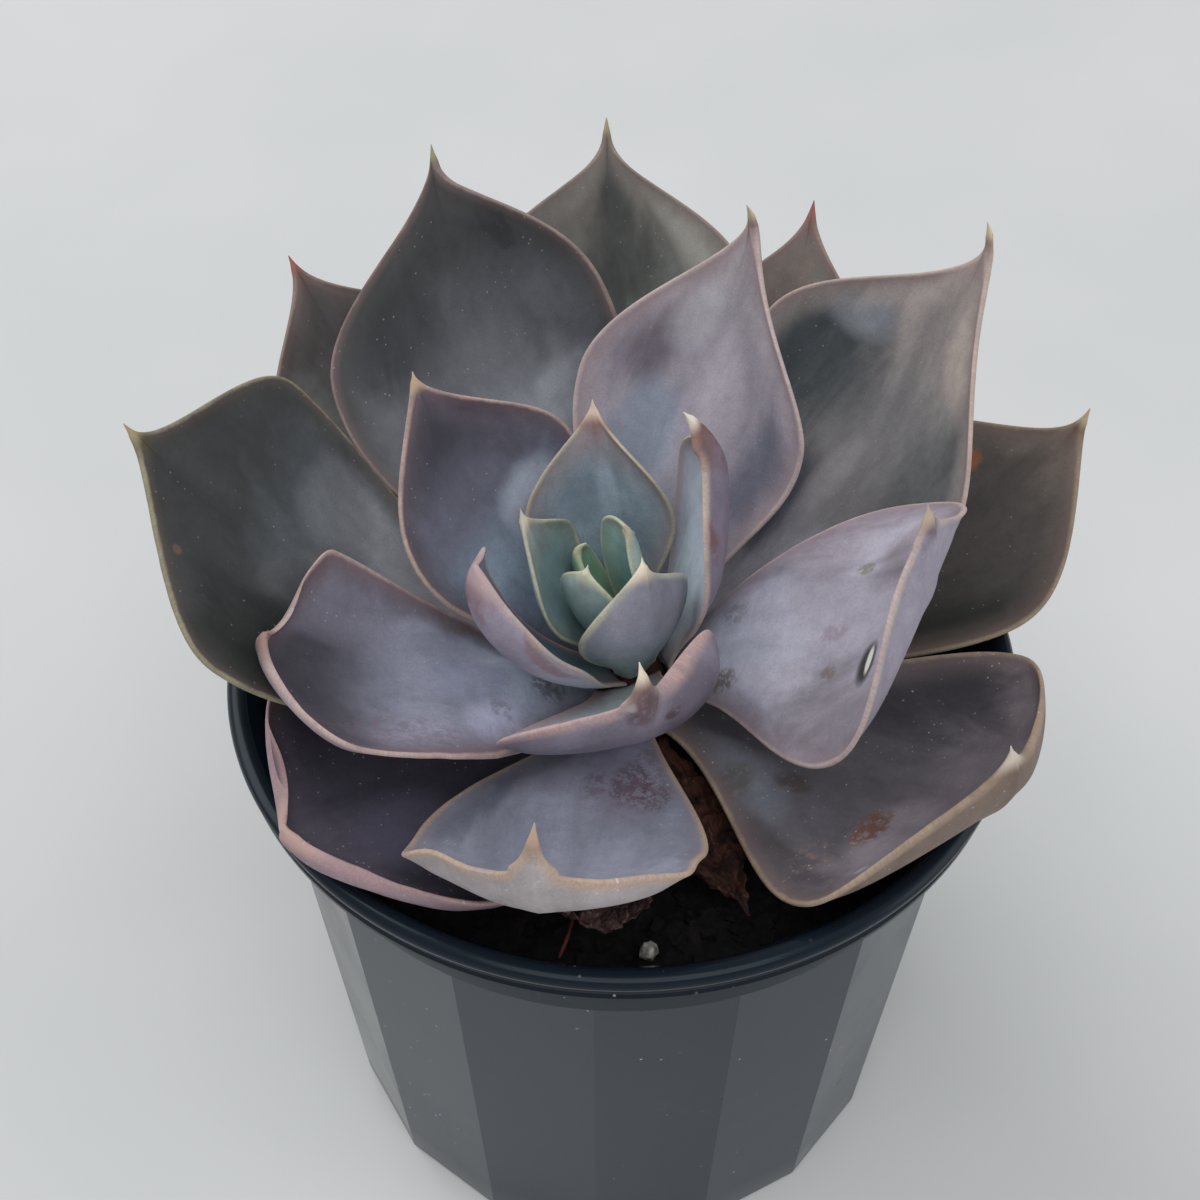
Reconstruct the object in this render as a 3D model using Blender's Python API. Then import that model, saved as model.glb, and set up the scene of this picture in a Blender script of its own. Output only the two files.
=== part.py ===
"""Potted echeveria: a rosette of fleshy leaves on a short stem, in soil, in a faceted nursery pot.

Lengths below are in millimetres and angles in degrees; MM turns them into metres.
The origin is the middle of the pot's underside, +Z is up, and the photographed side faces -Y.
Left and right of a leaf are as seen from the stem, looking out along the leaf.
"""
import math
from dataclasses import dataclass

import bmesh
import bpy
import numpy as np
from mathutils.bvhtree import BVHTree

MM = 0.001
SEAT = 0.3                 # clearance between pieces that rest on or in each other

# Pot: a common 10 cm nursery pot
RIM_RADIUS = 50.0
POT_HEIGHT = 79.6
FACETS = 16
FACET_CORNER = -161.0      # bearing of one corner between two facets
FOOT_RADIUS = 38.8         # to the facet corners
FACET_TOP_RADIUS = 45.0    # to the facet corners
FACET_TOP = 66.7
COLLAR_RADIUS = 45.4
COLLAR_TOP = 74.4
WALL = 1.1
FLOOR_THICKNESS = 1.8
DRAIN_HOLES = 8
DRAIN_RADIUS = 3.5
DRAIN_CIRCLE = 27.0
POT_SIDES = 48             # a multiple of FACETS

# Soil
SOIL_TOP = 68.6
SOIL_LUMP = 0.5
SOIL_SIDES = 40

# Stem and the spiral that the leaves follow
STEM_X = 1.0               # the stem stands a little right of the pot's middle
STEM_TIP = 83.5
AGE_STEP = 0.55            # drop in height from one leaf to the next older one
STEM_SPREAD = 1.15         # stem radius = STEM_SPREAD * sqrt(age of the leaf that grows there)
STEM_FOOT = 48.0
STEM_SIDES = 16
GOLDEN_ANGLE = 137.5
SPIRAL_START = -5.0

# Blades
FINE_AGE = 10              # leaves of this age and older get the finer grid
GRID_FINE = (15, 9)        # stations along, and across
GRID_SMALL = (11, 7)
TIP_HALF_WIDTH = 0.35      # of the end spine
SPINE_FLARE = 2.2          # how much wider each side of the spine is at its foot
PRESS_STEP = 0.15          # how far a blade is pressed down at a time, off one it touches
PRESS_STEPS = 60
BUD_RADIUS = 2.6
BUD_RISE = 1.8


@dataclass
class Leaf:
    """One leaf. age is its place in the spiral, and 1 is the youngest."""
    age: int
    length: float
    width: float
    rise: tuple            # slope of the midrib above level at its base, middle and tip
    lean: float = 0.0      # how far it grows off the spiral's own bearing
    turn: float = 0.0      # sideways bend from base to tip, positive to the left
    roll: tuple = (0.0, 0.0)   # twist at the base and the tip, positive lifts the left margin
    cup: tuple = (30.0, 30.0)  # slope of the left and right margin
    fold: float = 10.0     # V fold at the midrib near the tip
    shoulder: float = 2.2  # how square the blade is past its widest place
    point: float = 2.0     # how drawn out its tip is
    widest: float = 0.6    # where it is widest, as a share of its length
    spine: float = 15.0    # extra upward bend of the small end spine
    spur: float = 0.0      # share of the length taken by a narrow spine past a blunt blade
    lift: float = 0.0      # height above the spiral's own
    thin: float = 1.0      # share of a fresh leaf's thickness


HEART = (
    Leaf(1, 16, 12, (74, 64, 130), lean=30, roll=(0, 40), cup=(24, 24), shoulder=1.4, point=3,
         spine=12),
    Leaf(2, 20.5, 11.5, (50, 74, 98), lean=-41, cup=(26, 22), point=1.8, spine=8),
    Leaf(3, 22.5, 14, (84, 105, 112), lean=20, turn=-8, roll=(0, -60), cup=(20, 30), fold=6,
         shoulder=1.8, point=2.2, spine=8),
)
LEAVES = (
    Leaf(4, 25, 15, (66, 62, 84), lean=-8, roll=(-4, -11), cup=(18, 36), fold=12, point=2.1,
         widest=0.5, spine=-3),
    Leaf(5, 24, 17, (72, 76, 130), lean=-42, roll=(5, 32), cup=(48, 17), fold=5, point=1.9, spine=12),
    Leaf(6, 31, 19.5, (62, 65, 73), lean=9, turn=-3, roll=(0, -28), cup=(30, 54), fold=15,
         widest=0.53, spine=5),
    Leaf(7, 38, 21, (34, 56, 96), lean=-17, turn=-6, roll=(14, -22), cup=(62, 40), fold=15, shoulder=3,
         point=0.8, widest=0.57),
    Leaf(8, 42, 22, (80, 82, 140), lean=-1, roll=(0, -9), fold=24, shoulder=2.6, point=1.5, widest=0.5,
         spine=-14, spur=0.1),
    Leaf(9, 44, 31, (43, 49, 71), turn=-9, roll=(0, -10), cup=(25, 32), point=1.9, widest=0.53,
         spine=10),
    Leaf(10, 39, 33, (26, 49, 112), lean=-21, turn=22, roll=(12, 8), cup=(96, 30), fold=3,
         shoulder=3.4, point=1.4, widest=0.62, spine=22, spur=0.13),
    Leaf(11, 60, 34, (45, 58, 89), lean=6, turn=-38, cup=(32, 35), fold=13, shoulder=1.8,
         point=2.1, widest=0.52, spine=26),
    Leaf(12, 52, 33, (35, 23, 50), lean=8, turn=-29, roll=(0, -9), cup=(42, 32), fold=15,
         point=1.8, widest=0.75, spine=72),
    Leaf(13, 60, 36, (66, 42, 136), lean=-3, turn=-36, roll=(36, 25), cup=(-27, 6), fold=11,
         shoulder=2.3, point=0.8, spine=-30, spur=0.06),
    Leaf(14, 75, 42, (21, 30, 23), lean=1, turn=-20, roll=(0, -50), cup=(24, 31), fold=9, point=2.2),
    Leaf(15, 63, 34.5, (26, 24, 123), lean=1, roll=(0, 8), cup=(17, 14), fold=18, shoulder=5,
         point=1.6, widest=0.55, spine=-4, spur=0.11),
    Leaf(16, 74, 46, (20, 49, 80), lean=4, turn=-23, cup=(34, 22), fold=16, point=3.0, widest=0.57,
         spine=25),
    Leaf(17, 71, 45, (14, 43, 56), lean=9, turn=-2, roll=(0, -10), cup=(9, 16), fold=5,
         shoulder=2.4, point=2.4, widest=0.7, spine=7),
    Leaf(18, 62.5, 45.5, (10, 22, 100), lean=19.5, turn=-25, roll=(4, 1), cup=(48, 9), fold=8,
         shoulder=2.6, point=1.9, widest=0.64, lift=-0.2),
    Leaf(19, 82, 40, (19, 22, 25), lean=6, turn=-1, cup=(32, 32), fold=15, point=2.3,
         widest=0.62, spine=20),
    Leaf(20, 52, 42, (11, 9, 42), lean=-5, turn=3, roll=(14, -12), cup=(60, 45), fold=12, shoulder=3.4,
         point=1, widest=0.64, spine=60, spur=0.02, lift=0.6),
    Leaf(21, 67, 38, (21, 17, 58), lean=22, roll=(-8, 14), cup=(27, 24), fold=0, point=2.1),
    Leaf(22, 75, 39, (9, 20, 34), lean=-10, roll=(0, -5), cup=(28, 31), fold=12, point=1.9, spine=10),
    Leaf(24, 76, 35, (21, 17, 50), lean=12, turn=9, cup=(28, 18), fold=11, point=1.9, widest=0.57,
         lift=-0.4),
)
DRY_LEAVES = (
    Leaf(23, 33, 15, (2, 2, 4), lean=-11, cup=(40, 45), fold=15, shoulder=5, point=0.8, spine=0,
         lift=1.2, thin=0.5),
    Leaf(31, 34, 12, (-14, 6, 25), lean=-6, cup=(60, 55), fold=25, spine=0, lift=5.4, thin=0.5),
)

# Looks of the materials: colour, roughness
POT_LOOK = ((0.035, 0.042, 0.050), 0.38)
SOIL_LOOK = ((0.012, 0.010, 0.009), 0.95)
STEM_LOOK = ((0.20, 0.12, 0.08), 0.80)
HEART_LOOK = ((0.20, 0.32, 0.26), 0.55)
YOUNG_LOOK = ((0.26, 0.31, 0.33), 0.55)
MIDDLE_LOOK = ((0.27, 0.24, 0.29), 0.55)
OLD_LOOK = ((0.09, 0.10, 0.10), 0.55)
DRY_LOOK = ((0.10, 0.045, 0.03), 0.85)
PERLITE_LOOK = ((0.60, 0.60, 0.56), 0.90)
MIDDLE_AGE = 7             # leaves from this age on are mauve
OLD_AGE = 14               # and from this age on dark olive


def clear_scene():
    for item in list(bpy.data.objects):
        bpy.data.objects.remove(item, do_unlink=True)


def material(name, look):
    colour, roughness = look
    found = bpy.data.materials.get(name)
    if found:
        return found
    made = bpy.data.materials.new(name)
    made.use_nodes = True
    shader = made.node_tree.nodes["Principled BSDF"]
    shader.inputs["Base Color"].default_value = (*colour, 1.0)
    shader.inputs["Roughness"].default_value = roughness
    shader.inputs["Metallic"].default_value = 0.0
    return made


def add_object(name, points, faces, surface, sharp_angle=35.0):
    """Make one closed object from points in millimetres, with its faces pointing out."""
    mesh = bpy.data.meshes.new(name)
    mesh.from_pydata([tuple(float(c) * MM for c in p) for p in points], [], faces)
    mesh.validate()
    body = bmesh.new()
    body.from_mesh(mesh)
    bmesh.ops.recalc_face_normals(body, faces=body.faces)
    if body.calc_volume(signed=True) < 0.0:
        bmesh.ops.reverse_faces(body, faces=body.faces)
    bmesh.ops.triangulate(body, faces=body.faces)
    body.to_mesh(mesh)
    body.free()
    mesh.shade_smooth()
    mesh.set_sharp_from_angle(angle=math.radians(sharp_angle))
    mesh.materials.append(surface)
    made = bpy.data.objects.new(name, mesh)
    bpy.context.scene.collection.objects.link(made)
    return made


def ring_faces(count, sides):
    """Faces that join rings of points, each with the same number of sides."""
    faces = []
    for ring in range(count - 1):
        for k in range(sides):
            after = (k + 1) % sides
            low, high = ring * sides, (ring + 1) * sides
            faces.append((low + k, low + after, high + after, high + k))
    return faces


def turned(rings, sides, corner=0.0):
    """Points and faces of a closed turned body. Each ring is a height and a radius function."""
    bearings = math.radians(corner) + np.arange(sides) * 2 * math.pi / sides
    points = [(radius(b) * math.cos(b), radius(b) * math.sin(b), height)
              for height, radius in rings for b in bearings]
    faces = ring_faces(len(rings), sides)
    for height, first in ((rings[0][0], 0), (rings[-1][0], (len(rings) - 1) * sides)):
        middle = len(points)
        points.append((0.0, 0.0, height))
        faces += [(middle, first + k, first + (k + 1) % sides) for k in range(sides)]
    return points, faces


def facet_radius(corner_radius):
    """Radius function of the many-sided wall, as far as its corners reach."""
    step = 2 * math.pi / FACETS

    def radius(bearing):
        along = (bearing - math.radians(FACET_CORNER)) % step
        return corner_radius * math.cos(step / 2) / math.cos(along - step / 2)
    return radius


def round_radius(value):
    return lambda bearing: value


def wall_radius(height):
    """Radius of the pot's round inner wall."""
    inset = math.cos(math.pi / FACETS)
    low = FOOT_RADIUS * inset - WALL
    high = FACET_TOP_RADIUS * inset - WALL
    return low + (high - low) * height / FACET_TOP


def make_pot():
    lip_in = RIM_RADIUS - 2.8
    rings = [
        (0.0, facet_radius(FOOT_RADIUS - 0.8)),
        (0.8, facet_radius(FOOT_RADIUS)),
        (FACET_TOP, facet_radius(FACET_TOP_RADIUS)),
        (FACET_TOP + 0.3, round_radius(COLLAR_RADIUS)),
        (COLLAR_TOP, round_radius(COLLAR_RADIUS + 0.7)),
        (COLLAR_TOP + 0.2, round_radius(RIM_RADIUS - 1.4)),
        (COLLAR_TOP + 1.0, round_radius(RIM_RADIUS - 0.5)),
        (COLLAR_TOP + 2.2, round_radius(RIM_RADIUS - 0.9)),
        (POT_HEIGHT - 2.0, round_radius(RIM_RADIUS)),
        (POT_HEIGHT - 0.7, round_radius(RIM_RADIUS - 0.35)),
        (POT_HEIGHT, round_radius(RIM_RADIUS - 1.4)),
        (POT_HEIGHT - 0.4, round_radius(lip_in)),
        (POT_HEIGHT - 1.6, round_radius(lip_in - 0.6)),
        (COLLAR_TOP, round_radius(lip_in - 2.2)),
        (FACET_TOP, round_radius(wall_radius(FACET_TOP))),
        (FLOOR_THICKNESS, round_radius(wall_radius(FLOOR_THICKNESS))),
    ]
    points, faces = turned(rings, POT_SIDES, FACET_CORNER)
    pot = add_object("pot", points, faces, material("pot_plastic", POT_LOOK), sharp_angle=20.0)
    cutters = bpy.data.collections.new("drain_cutters")
    bpy.context.scene.collection.children.link(cutters)
    reach = 3.0 * FLOOR_THICKNESS
    for k in range(DRAIN_HOLES):
        bearing = 2 * math.pi * k / DRAIN_HOLES
        points, faces = turned([(-reach, round_radius(DRAIN_RADIUS)),
                                (reach, round_radius(DRAIN_RADIUS))], 12)
        points = [(x + DRAIN_CIRCLE * math.cos(bearing), y + DRAIN_CIRCLE * math.sin(bearing), z)
                  for x, y, z in points]
        cutter = add_object(f"drain_{k}", points, faces, pot.data.materials[0])
        bpy.context.scene.collection.objects.unlink(cutter)
        cutters.objects.link(cutter)
    apply_boolean(pot, cutters, "DIFFERENCE")


def apply_boolean(target, cutters, operation):
    """Apply one Boolean with a whole collection, and remove what it used."""
    change = target.modifiers.new("join", "BOOLEAN")
    change.operation = operation
    change.operand_type = "COLLECTION"
    change.collection = cutters
    change.solver = "EXACT"
    bpy.context.view_layer.update()
    shaped = bpy.data.meshes.new_from_object(
        target.evaluated_get(bpy.context.evaluated_depsgraph_get()))
    target.modifiers.clear()
    target.data = shaped
    for used in list(cutters.objects):
        bpy.data.objects.remove(used, do_unlink=True)
    bpy.data.collections.remove(cutters)


def stem_radius(height):
    """Radius of the stem, whose round tip widens downward as the leaves grow older."""
    age = max(0.0, (STEM_TIP - height) / AGE_STEP)
    return STEM_SPREAD * math.sqrt(age)


def soil_height(x, y):
    """Height of the lumpy soil surface."""
    waves = math.sin(0.31 * x + 1.3) * math.cos(0.27 * y) + 0.6 * math.sin(0.55 * x - 0.47 * y)
    return SOIL_TOP + SOIL_LUMP * waves


def make_soil():
    hole = stem_radius(SOIL_TOP) + SEAT
    foot = wall_radius(FLOOR_THICKNESS + SEAT) - SEAT
    shares = (1.0, 0.75, 0.5, 0.25, 0.0)
    bearings = np.arange(SOIL_SIDES) * 2 * math.pi / SOIL_SIDES
    edge = wall_radius(FACET_TOP) - SEAT
    points = []
    for b in bearings:
        points.append((foot * math.cos(b), foot * math.sin(b), FLOOR_THICKNESS + SEAT))
    for b in bearings:
        points.append((edge * math.cos(b), edge * math.sin(b), FACET_TOP))
    for share in shares:
        for b in bearings:
            radius = hole + (edge - hole) * share
            x = STEM_X * (1.0 - share) + radius * math.cos(b)
            y = radius * math.sin(b)
            points.append((x, y, soil_height(x, y)))
    for b in bearings:
        points.append((STEM_X + hole * math.cos(b), hole * math.sin(b), STEM_FOOT - SEAT))
    rings = 3 + len(shares)
    faces = ring_faces(rings, SOIL_SIDES)
    for height, x, first in ((FLOOR_THICKNESS + SEAT, 0.0, 0),
                             (STEM_FOOT - SEAT, STEM_X, (rings - 1) * SOIL_SIDES)):
        middle = len(points)
        points.append((x, 0.0, height))
        faces += [(middle, first + k, first + (k + 1) % SOIL_SIDES) for k in range(SOIL_SIDES)]
    add_object("soil", points, faces, material("soil", SOIL_LOOK))


def make_stem():
    below = stem_radius(SOIL_TOP)
    rings = [(STEM_FOOT, round_radius(below - 1.0)), (STEM_FOOT + 1.0, round_radius(below)),
             (SOIL_TOP, round_radius(below))]
    for height in (71.0, 73.5, 76.0, 78.5, 80.5, 82.0, 83.0, 83.4):
        rings.append((height, round_radius(stem_radius(height))))
    points, faces = turned(rings, STEM_SIDES)
    points = [(x + STEM_X, y, z) for x, y, z in points]
    add_object("stem", points, faces, material("stem_bark", STEM_LOOK))


def half_width(leaf, u):
    """Half the blade's width along its length, as a share of the greatest."""
    neck = np.interp(leaf.age, (0, 6, 14), (0.46, 0.30, 0.19))
    out = np.clip(u / leaf.widest, 0.0, 1.0)
    widening = neck + (1.0 - neck) * (0.5 - 0.5 * np.cos(np.pi * out)) ** 0.85
    past = np.clip((u - leaf.widest) / (1.0 - leaf.spur - leaf.widest), 0.0, 1.0)
    return np.where(u < leaf.widest, widening, (1.0 - past ** leaf.shoulder) ** leaf.point)


def spine_width(leaf, u):
    """Half the width of the end spine, which flares where it leaves a blunt blade."""
    if leaf.spur == 0.0:
        return np.full_like(u, TIP_HALF_WIDTH)
    flare = np.clip((1.0 - u) / leaf.spur, 0.0, 1.0)
    return TIP_HALF_WIDTH + SPINE_FLARE * flare ** 2


def thickness(leaf, u, v):
    """Thickness over the blade: full along the middle, thin at the margins."""
    root = np.interp(leaf.length, (10, 30, 60), (1.1, 1.5, 1.9))
    middle = np.interp(leaf.length, (10, 30, 60), (1.3, 2.0, 3.0))
    margin = np.interp(leaf.length, (10, 30, 60), (0.7, 0.9, 1.2))
    full = np.interp(u, (0.0, 0.35, 0.75, 1.0), (root, middle, 0.8 * middle, 0.9))
    shape = margin + (full[:, None] - margin) * (1.0 - np.abs(v) ** 2.2)[None]
    return np.maximum(shape * leaf.thin, 0.7)


def leaf_seat(leaf):
    """Bearing, radius and height where the leaf leaves the stem, SEAT clear of it."""
    bearing = SPIRAL_START + GOLDEN_ANGLE * leaf.age + leaf.lean
    height = STEM_TIP - AGE_STEP * leaf.age + leaf.lift
    half = thickness(leaf, np.zeros(1), np.zeros(1))[0, 0] / 2
    slope = math.radians(leaf.rise[0])
    radius = 0.0
    for side in (-1.0, 0.0, 1.0):
        needed = stem_radius(height + side * half * math.cos(slope)) + side * half * math.sin(slope)
        radius = max(radius, needed + SEAT)
    return bearing, radius, height


def midrib(leaf, u):
    """Points and frame of the midrib: along, to the left, and up out of the blade."""
    fine = np.linspace(0.0, 1.0, 241)
    base, middle, tip = leaf.rise
    knee = 0.55            # where the middle slope holds
    rise = (base * (fine - knee) * (fine - 1.0) / knee
            + middle * fine * (fine - 1.0) / (knee * (knee - 1.0))
            + tip * fine * (fine - knee) / (1.0 - knee))
    end = np.clip((fine - 0.86) / 0.14, 0.0, 1.0)
    rise = np.radians(rise + leaf.spine * end * end * (3.0 - 2.0 * end))
    bearing, radius, height = leaf_seat(leaf)
    heading = np.radians(bearing + leaf.turn * fine ** 1.5)
    along = np.stack([np.cos(rise) * np.cos(heading), np.cos(rise) * np.sin(heading), np.sin(rise)], -1)
    steps = (along[1:] + along[:-1]) / 2 * leaf.length / (len(fine) - 1)
    start = math.radians(bearing)
    root = np.array([STEM_X + radius * math.cos(start), radius * math.sin(start), height])
    line = root + np.vstack([np.zeros(3), np.cumsum(steps, axis=0)])
    place = np.stack([np.interp(u, fine, line[:, k]) for k in range(3)], -1)
    rise = np.interp(u, fine, rise)
    heading = np.interp(u, fine, heading)
    along = np.stack([np.cos(rise) * np.cos(heading), np.cos(rise) * np.sin(heading), np.sin(rise)], -1)
    left = np.stack([-np.sin(heading), np.cos(heading), 0.0 * heading], -1)
    up = np.cross(along, left)
    twist = np.radians(leaf.roll[0] + (leaf.roll[1] - leaf.roll[0]) * u)[:, None]
    return place, np.cos(twist) * left + np.sin(twist) * up, np.cos(twist) * up - np.sin(twist) * left


def blade(leaf, u, v):
    """Middle surface of the blade and its normals, at stations u along and v across."""
    place, left, up = midrib(leaf, u)
    reach = np.cbrt((half_width(leaf, u) * leaf.width / 2) ** 3 + spine_width(leaf, u) ** 3)
    opening = 0.35 + 0.65 * np.sin(np.pi / 2 * np.clip(u / 0.7, 0.0, 1.0))
    crease = np.radians(leaf.fold) * u ** 2
    fine = np.linspace(0.0, 1.0, 41)
    surface = np.zeros((len(u), len(v), 3))
    normal = np.zeros_like(surface)
    for side, cup in ((1.0, leaf.cup[0]), (-1.0, leaf.cup[1])):
        slope = (crease[:, None] * np.tanh(4.0 * fine)
                 + math.radians(cup) * opening[:, None] * fine ** 1.5)
        step = 1.0 / (len(fine) - 1)
        start = np.zeros((len(u), 1))
        run = np.hstack([start, np.cumsum((np.cos(slope[:, 1:]) + np.cos(slope[:, :-1])) / 2 * step, 1)])
        climb = np.hstack([start, np.cumsum((np.sin(slope[:, 1:]) + np.sin(slope[:, :-1])) / 2 * step, 1)])
        for j, across in enumerate(v):
            if across * side < 0.0:
                continue
            at = lambda table: np.array([np.interp(abs(across), fine, row) for row in table])
            lean = at(slope)[:, None]
            surface[:, j] = (place + (at(run) * reach)[:, None] * left * side
                             + (at(climb) * reach)[:, None] * up)
            normal[:, j] = np.cos(lean) * up - np.sin(lean) * left * side
    return surface, normal


def stations(leaf):
    """Stations along and across the blade, closer together toward the tip."""
    along, across = GRID_FINE if leaf.age >= FINE_AGE and leaf.thin == 1.0 else GRID_SMALL
    return 1.0 - (1.0 - np.linspace(0.0, 1.0, along)) ** 1.25, np.linspace(-1.0, 1.0, across)


def leaf_body(leaf, surface, normal, margin=0.0):
    """Points and faces of one leaf as a closed body, grown on all sides by a margin."""
    u, v = stations(leaf)
    along, across = len(u), len(v)
    half = thickness(leaf, u, v)[..., None] / 2 + margin
    if margin:
        surface = surface.copy()
        span = surface[:, -1] - surface[:, 0]
        span *= margin / np.linalg.norm(span, axis=1)[:, None]
        surface[:, -1] += span
        surface[:, 0] -= span
    rings = np.concatenate([surface + normal * half, (surface - normal * half)[:, ::-1]], axis=1)
    sides = 2 * across
    faces = []
    for i in range(along - 1):
        for k in range(sides):
            after = (k + 1) % sides
            a, b = i * sides + k, i * sides + after
            d, c = a + sides, b + sides
            faces += [(a, b, c), (a, c, d)] if k < across else [(a, b, d), (b, c, d)]
    for first in (0, (along - 1) * sides):
        for k in range(across - 1):
            a, b = first + k, first + k + 1
            c, d = first + sides - 2 - k, first + sides - 1 - k
            faces += [(a, c, b), (a, d, c)] if first == 0 else [(a, b, c), (a, c, d)]
    return rings.reshape(-1, 3), faces


def off_stem(points):
    """Move points out of the stem and up off the soil, clear of both."""
    moved = points.copy()
    for point in moved.reshape(-1, 3):
        dx, dy, height = point[0] - STEM_X, point[1], point[2]
        reach = math.hypot(dx, dy)
        needed = stem_radius(height) + SEAT
        if reach < needed:
            point[0] = STEM_X + dx * needed / reach
            point[1] = dy * needed / reach
        point[2] = max(height, soil_height(point[0], point[1]) + 2.0 * SEAT)
    return moved


def settle(leaf, above):
    """Press a leaf's blade down and away wherever it would touch one of the leaves above it."""
    u, v = stations(leaf)
    surface, normal = blade(leaf, u, v)
    push = np.zeros(surface.shape[:2])
    across = len(v)
    for attempt in range(PRESS_STEPS):
        points, faces = leaf_body(leaf, surface - normal * push[..., None], normal)
        tree = BVHTree.FromPolygons([tuple(p) for p in points], faces)
        hit = np.zeros_like(push)
        for other in above:
            for face, there in tree.overlap(other):
                for vertex in faces[face]:
                    i, k = divmod(vertex, 2 * across)
                    hit[i, k if k < across else 2 * across - 1 - k] = 1.0
        if not hit.any():
            break
        near = hit.copy()
        near[1:] = np.maximum(near[1:], 0.5 * hit[:-1])
        near[:-1] = np.maximum(near[:-1], 0.5 * hit[1:])
        near[:, 1:] = np.maximum(near[:, 1:], 0.5 * hit[:, :-1])
        near[:, :-1] = np.maximum(near[:, :-1], 0.5 * hit[:, 1:])
        push += PRESS_STEP * near
    surface = surface - normal * push[..., None]
    points, faces = leaf_body(leaf, surface, normal, SEAT)
    above.append(BVHTree.FromPolygons([tuple(p) for p in points], faces))
    points, faces = leaf_body(leaf, surface, normal)
    return off_stem(points), faces


def make_bud():
    """Points and faces of the bud that the youngest leaves grow from."""
    middle = STEM_TIP + SEAT + BUD_RISE
    rings = []
    for k in range(1, 8):
        swing = math.pi * k / 8
        rings.append((middle - BUD_RISE * math.cos(swing), round_radius(BUD_RADIUS * math.sin(swing))))
    points, faces = turned(rings, 16)
    return [(x + STEM_X, y, z) for x, y, z in points], faces


def make_leaves():
    """The heart first, then each older leaf below the ones already in place."""
    surface = material("leaf_heart", HEART_LOOK)
    points, faces = make_bud()
    above = [BVHTree.FromPolygons(points, faces)]
    heart = add_object("heart_leaves", points, faces, surface, sharp_angle=60.0)
    young = bpy.data.collections.new("young_leaves")
    bpy.context.scene.collection.children.link(young)
    for leaf in HEART:
        blade_surface, normal = blade(leaf, *stations(leaf))
        points, faces = leaf_body(leaf, blade_surface, normal, SEAT)
        above.append(BVHTree.FromPolygons([tuple(p) for p in points], faces))
        points, faces = leaf_body(leaf, blade_surface, normal)
        made = add_object(f"young_{leaf.age}", points, faces, surface, sharp_angle=60.0)
        bpy.context.scene.collection.objects.unlink(made)
        young.objects.link(made)
    apply_boolean(heart, young, "UNION")
    for leaf in LEAVES:
        if leaf.age < MIDDLE_AGE:
            surface = material("leaf_young", YOUNG_LOOK)
        elif leaf.age < OLD_AGE:
            surface = material("leaf_middle", MIDDLE_LOOK)
        else:
            surface = material("leaf_old", OLD_LOOK)
        points, faces = settle(leaf, above)
        add_object(f"leaf_{leaf.age:02d}", points, faces, surface, sharp_angle=60.0)
    for leaf in DRY_LEAVES:
        points, faces = settle(leaf, above)
        add_object(f"dry_leaf_{leaf.age:02d}", points, faces, material("dry_leaf", DRY_LOOK), 60.0)


def make_perlite():
    """A grain of perlite that lies on the soil."""
    x, y, radius = 3.6, -39.2, 1.4
    body = bmesh.new()
    bmesh.ops.create_icosphere(body, subdivisions=1, radius=radius)
    body.verts.ensure_lookup_table()
    centre = (x, y, soil_height(x, y) + SEAT + radius)
    points = [tuple(c + m for c, m in zip(vert.co, centre)) for vert in body.verts]
    faces = [tuple(vert.index for vert in face.verts) for face in body.faces]
    body.free()
    add_object("perlite_grain", points, faces, material("perlite", PERLITE_LOOK))


clear_scene()
make_pot()
make_soil()
make_stem()
make_leaves()
make_perlite()
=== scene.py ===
import math
from dataclasses import dataclass

import bpy
import numpy as np
from mathutils import Matrix, Vector, noise
from mathutils.bvhtree import BVHTree


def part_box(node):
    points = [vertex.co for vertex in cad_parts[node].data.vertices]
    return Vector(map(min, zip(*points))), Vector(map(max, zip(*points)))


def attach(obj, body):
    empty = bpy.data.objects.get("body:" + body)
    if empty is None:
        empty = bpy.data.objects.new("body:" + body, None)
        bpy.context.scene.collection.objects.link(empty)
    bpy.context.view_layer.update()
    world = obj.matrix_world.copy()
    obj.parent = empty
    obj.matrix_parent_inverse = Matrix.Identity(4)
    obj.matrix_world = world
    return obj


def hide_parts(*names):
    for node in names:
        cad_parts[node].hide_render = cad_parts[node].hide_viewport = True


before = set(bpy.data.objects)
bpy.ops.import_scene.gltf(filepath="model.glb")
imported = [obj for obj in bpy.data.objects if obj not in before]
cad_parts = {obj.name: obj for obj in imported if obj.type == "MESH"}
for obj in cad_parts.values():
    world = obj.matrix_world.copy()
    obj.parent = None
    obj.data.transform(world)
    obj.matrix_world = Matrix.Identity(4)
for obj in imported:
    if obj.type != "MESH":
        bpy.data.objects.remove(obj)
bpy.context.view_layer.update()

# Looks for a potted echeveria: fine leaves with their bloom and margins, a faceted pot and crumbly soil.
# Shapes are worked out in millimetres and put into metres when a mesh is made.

MM = 0.001

# Pot, soil and stem, as in the CAD model
SEAT = 0.3
RIM_RADIUS = 50.0
POT_HEIGHT = 79.6
FACETS = 16
FACET_CORNER = -161.0
FOOT_RADIUS = 38.8
FACET_TOP_RADIUS = 45.0
FACET_TOP = 66.7
COLLAR_RADIUS = 45.4
COLLAR_TOP = 74.4
FOOT_ROUNDING = 0.9
RIM_BEAD = 2.2
WALL = 1.1
FLOOR_THICKNESS = 1.8
SOIL_TOP = 68.6
SOIL_LUMP = 0.5
CRUMBS = 900
STEM_X = 1.0
STEM_TIP = 83.5
AGE_STEP = 0.55
STEM_SPREAD = 1.15
GOLDEN_ANGLE = 137.5
SPIRAL_START = -5.0
GRID_FINE = (15, 9)
GRID_SMALL = (11, 7)
FINE_AGE = 10
SPINE_FLARE = 2.2
TIP_HALF_WIDTH = 0.35
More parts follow.
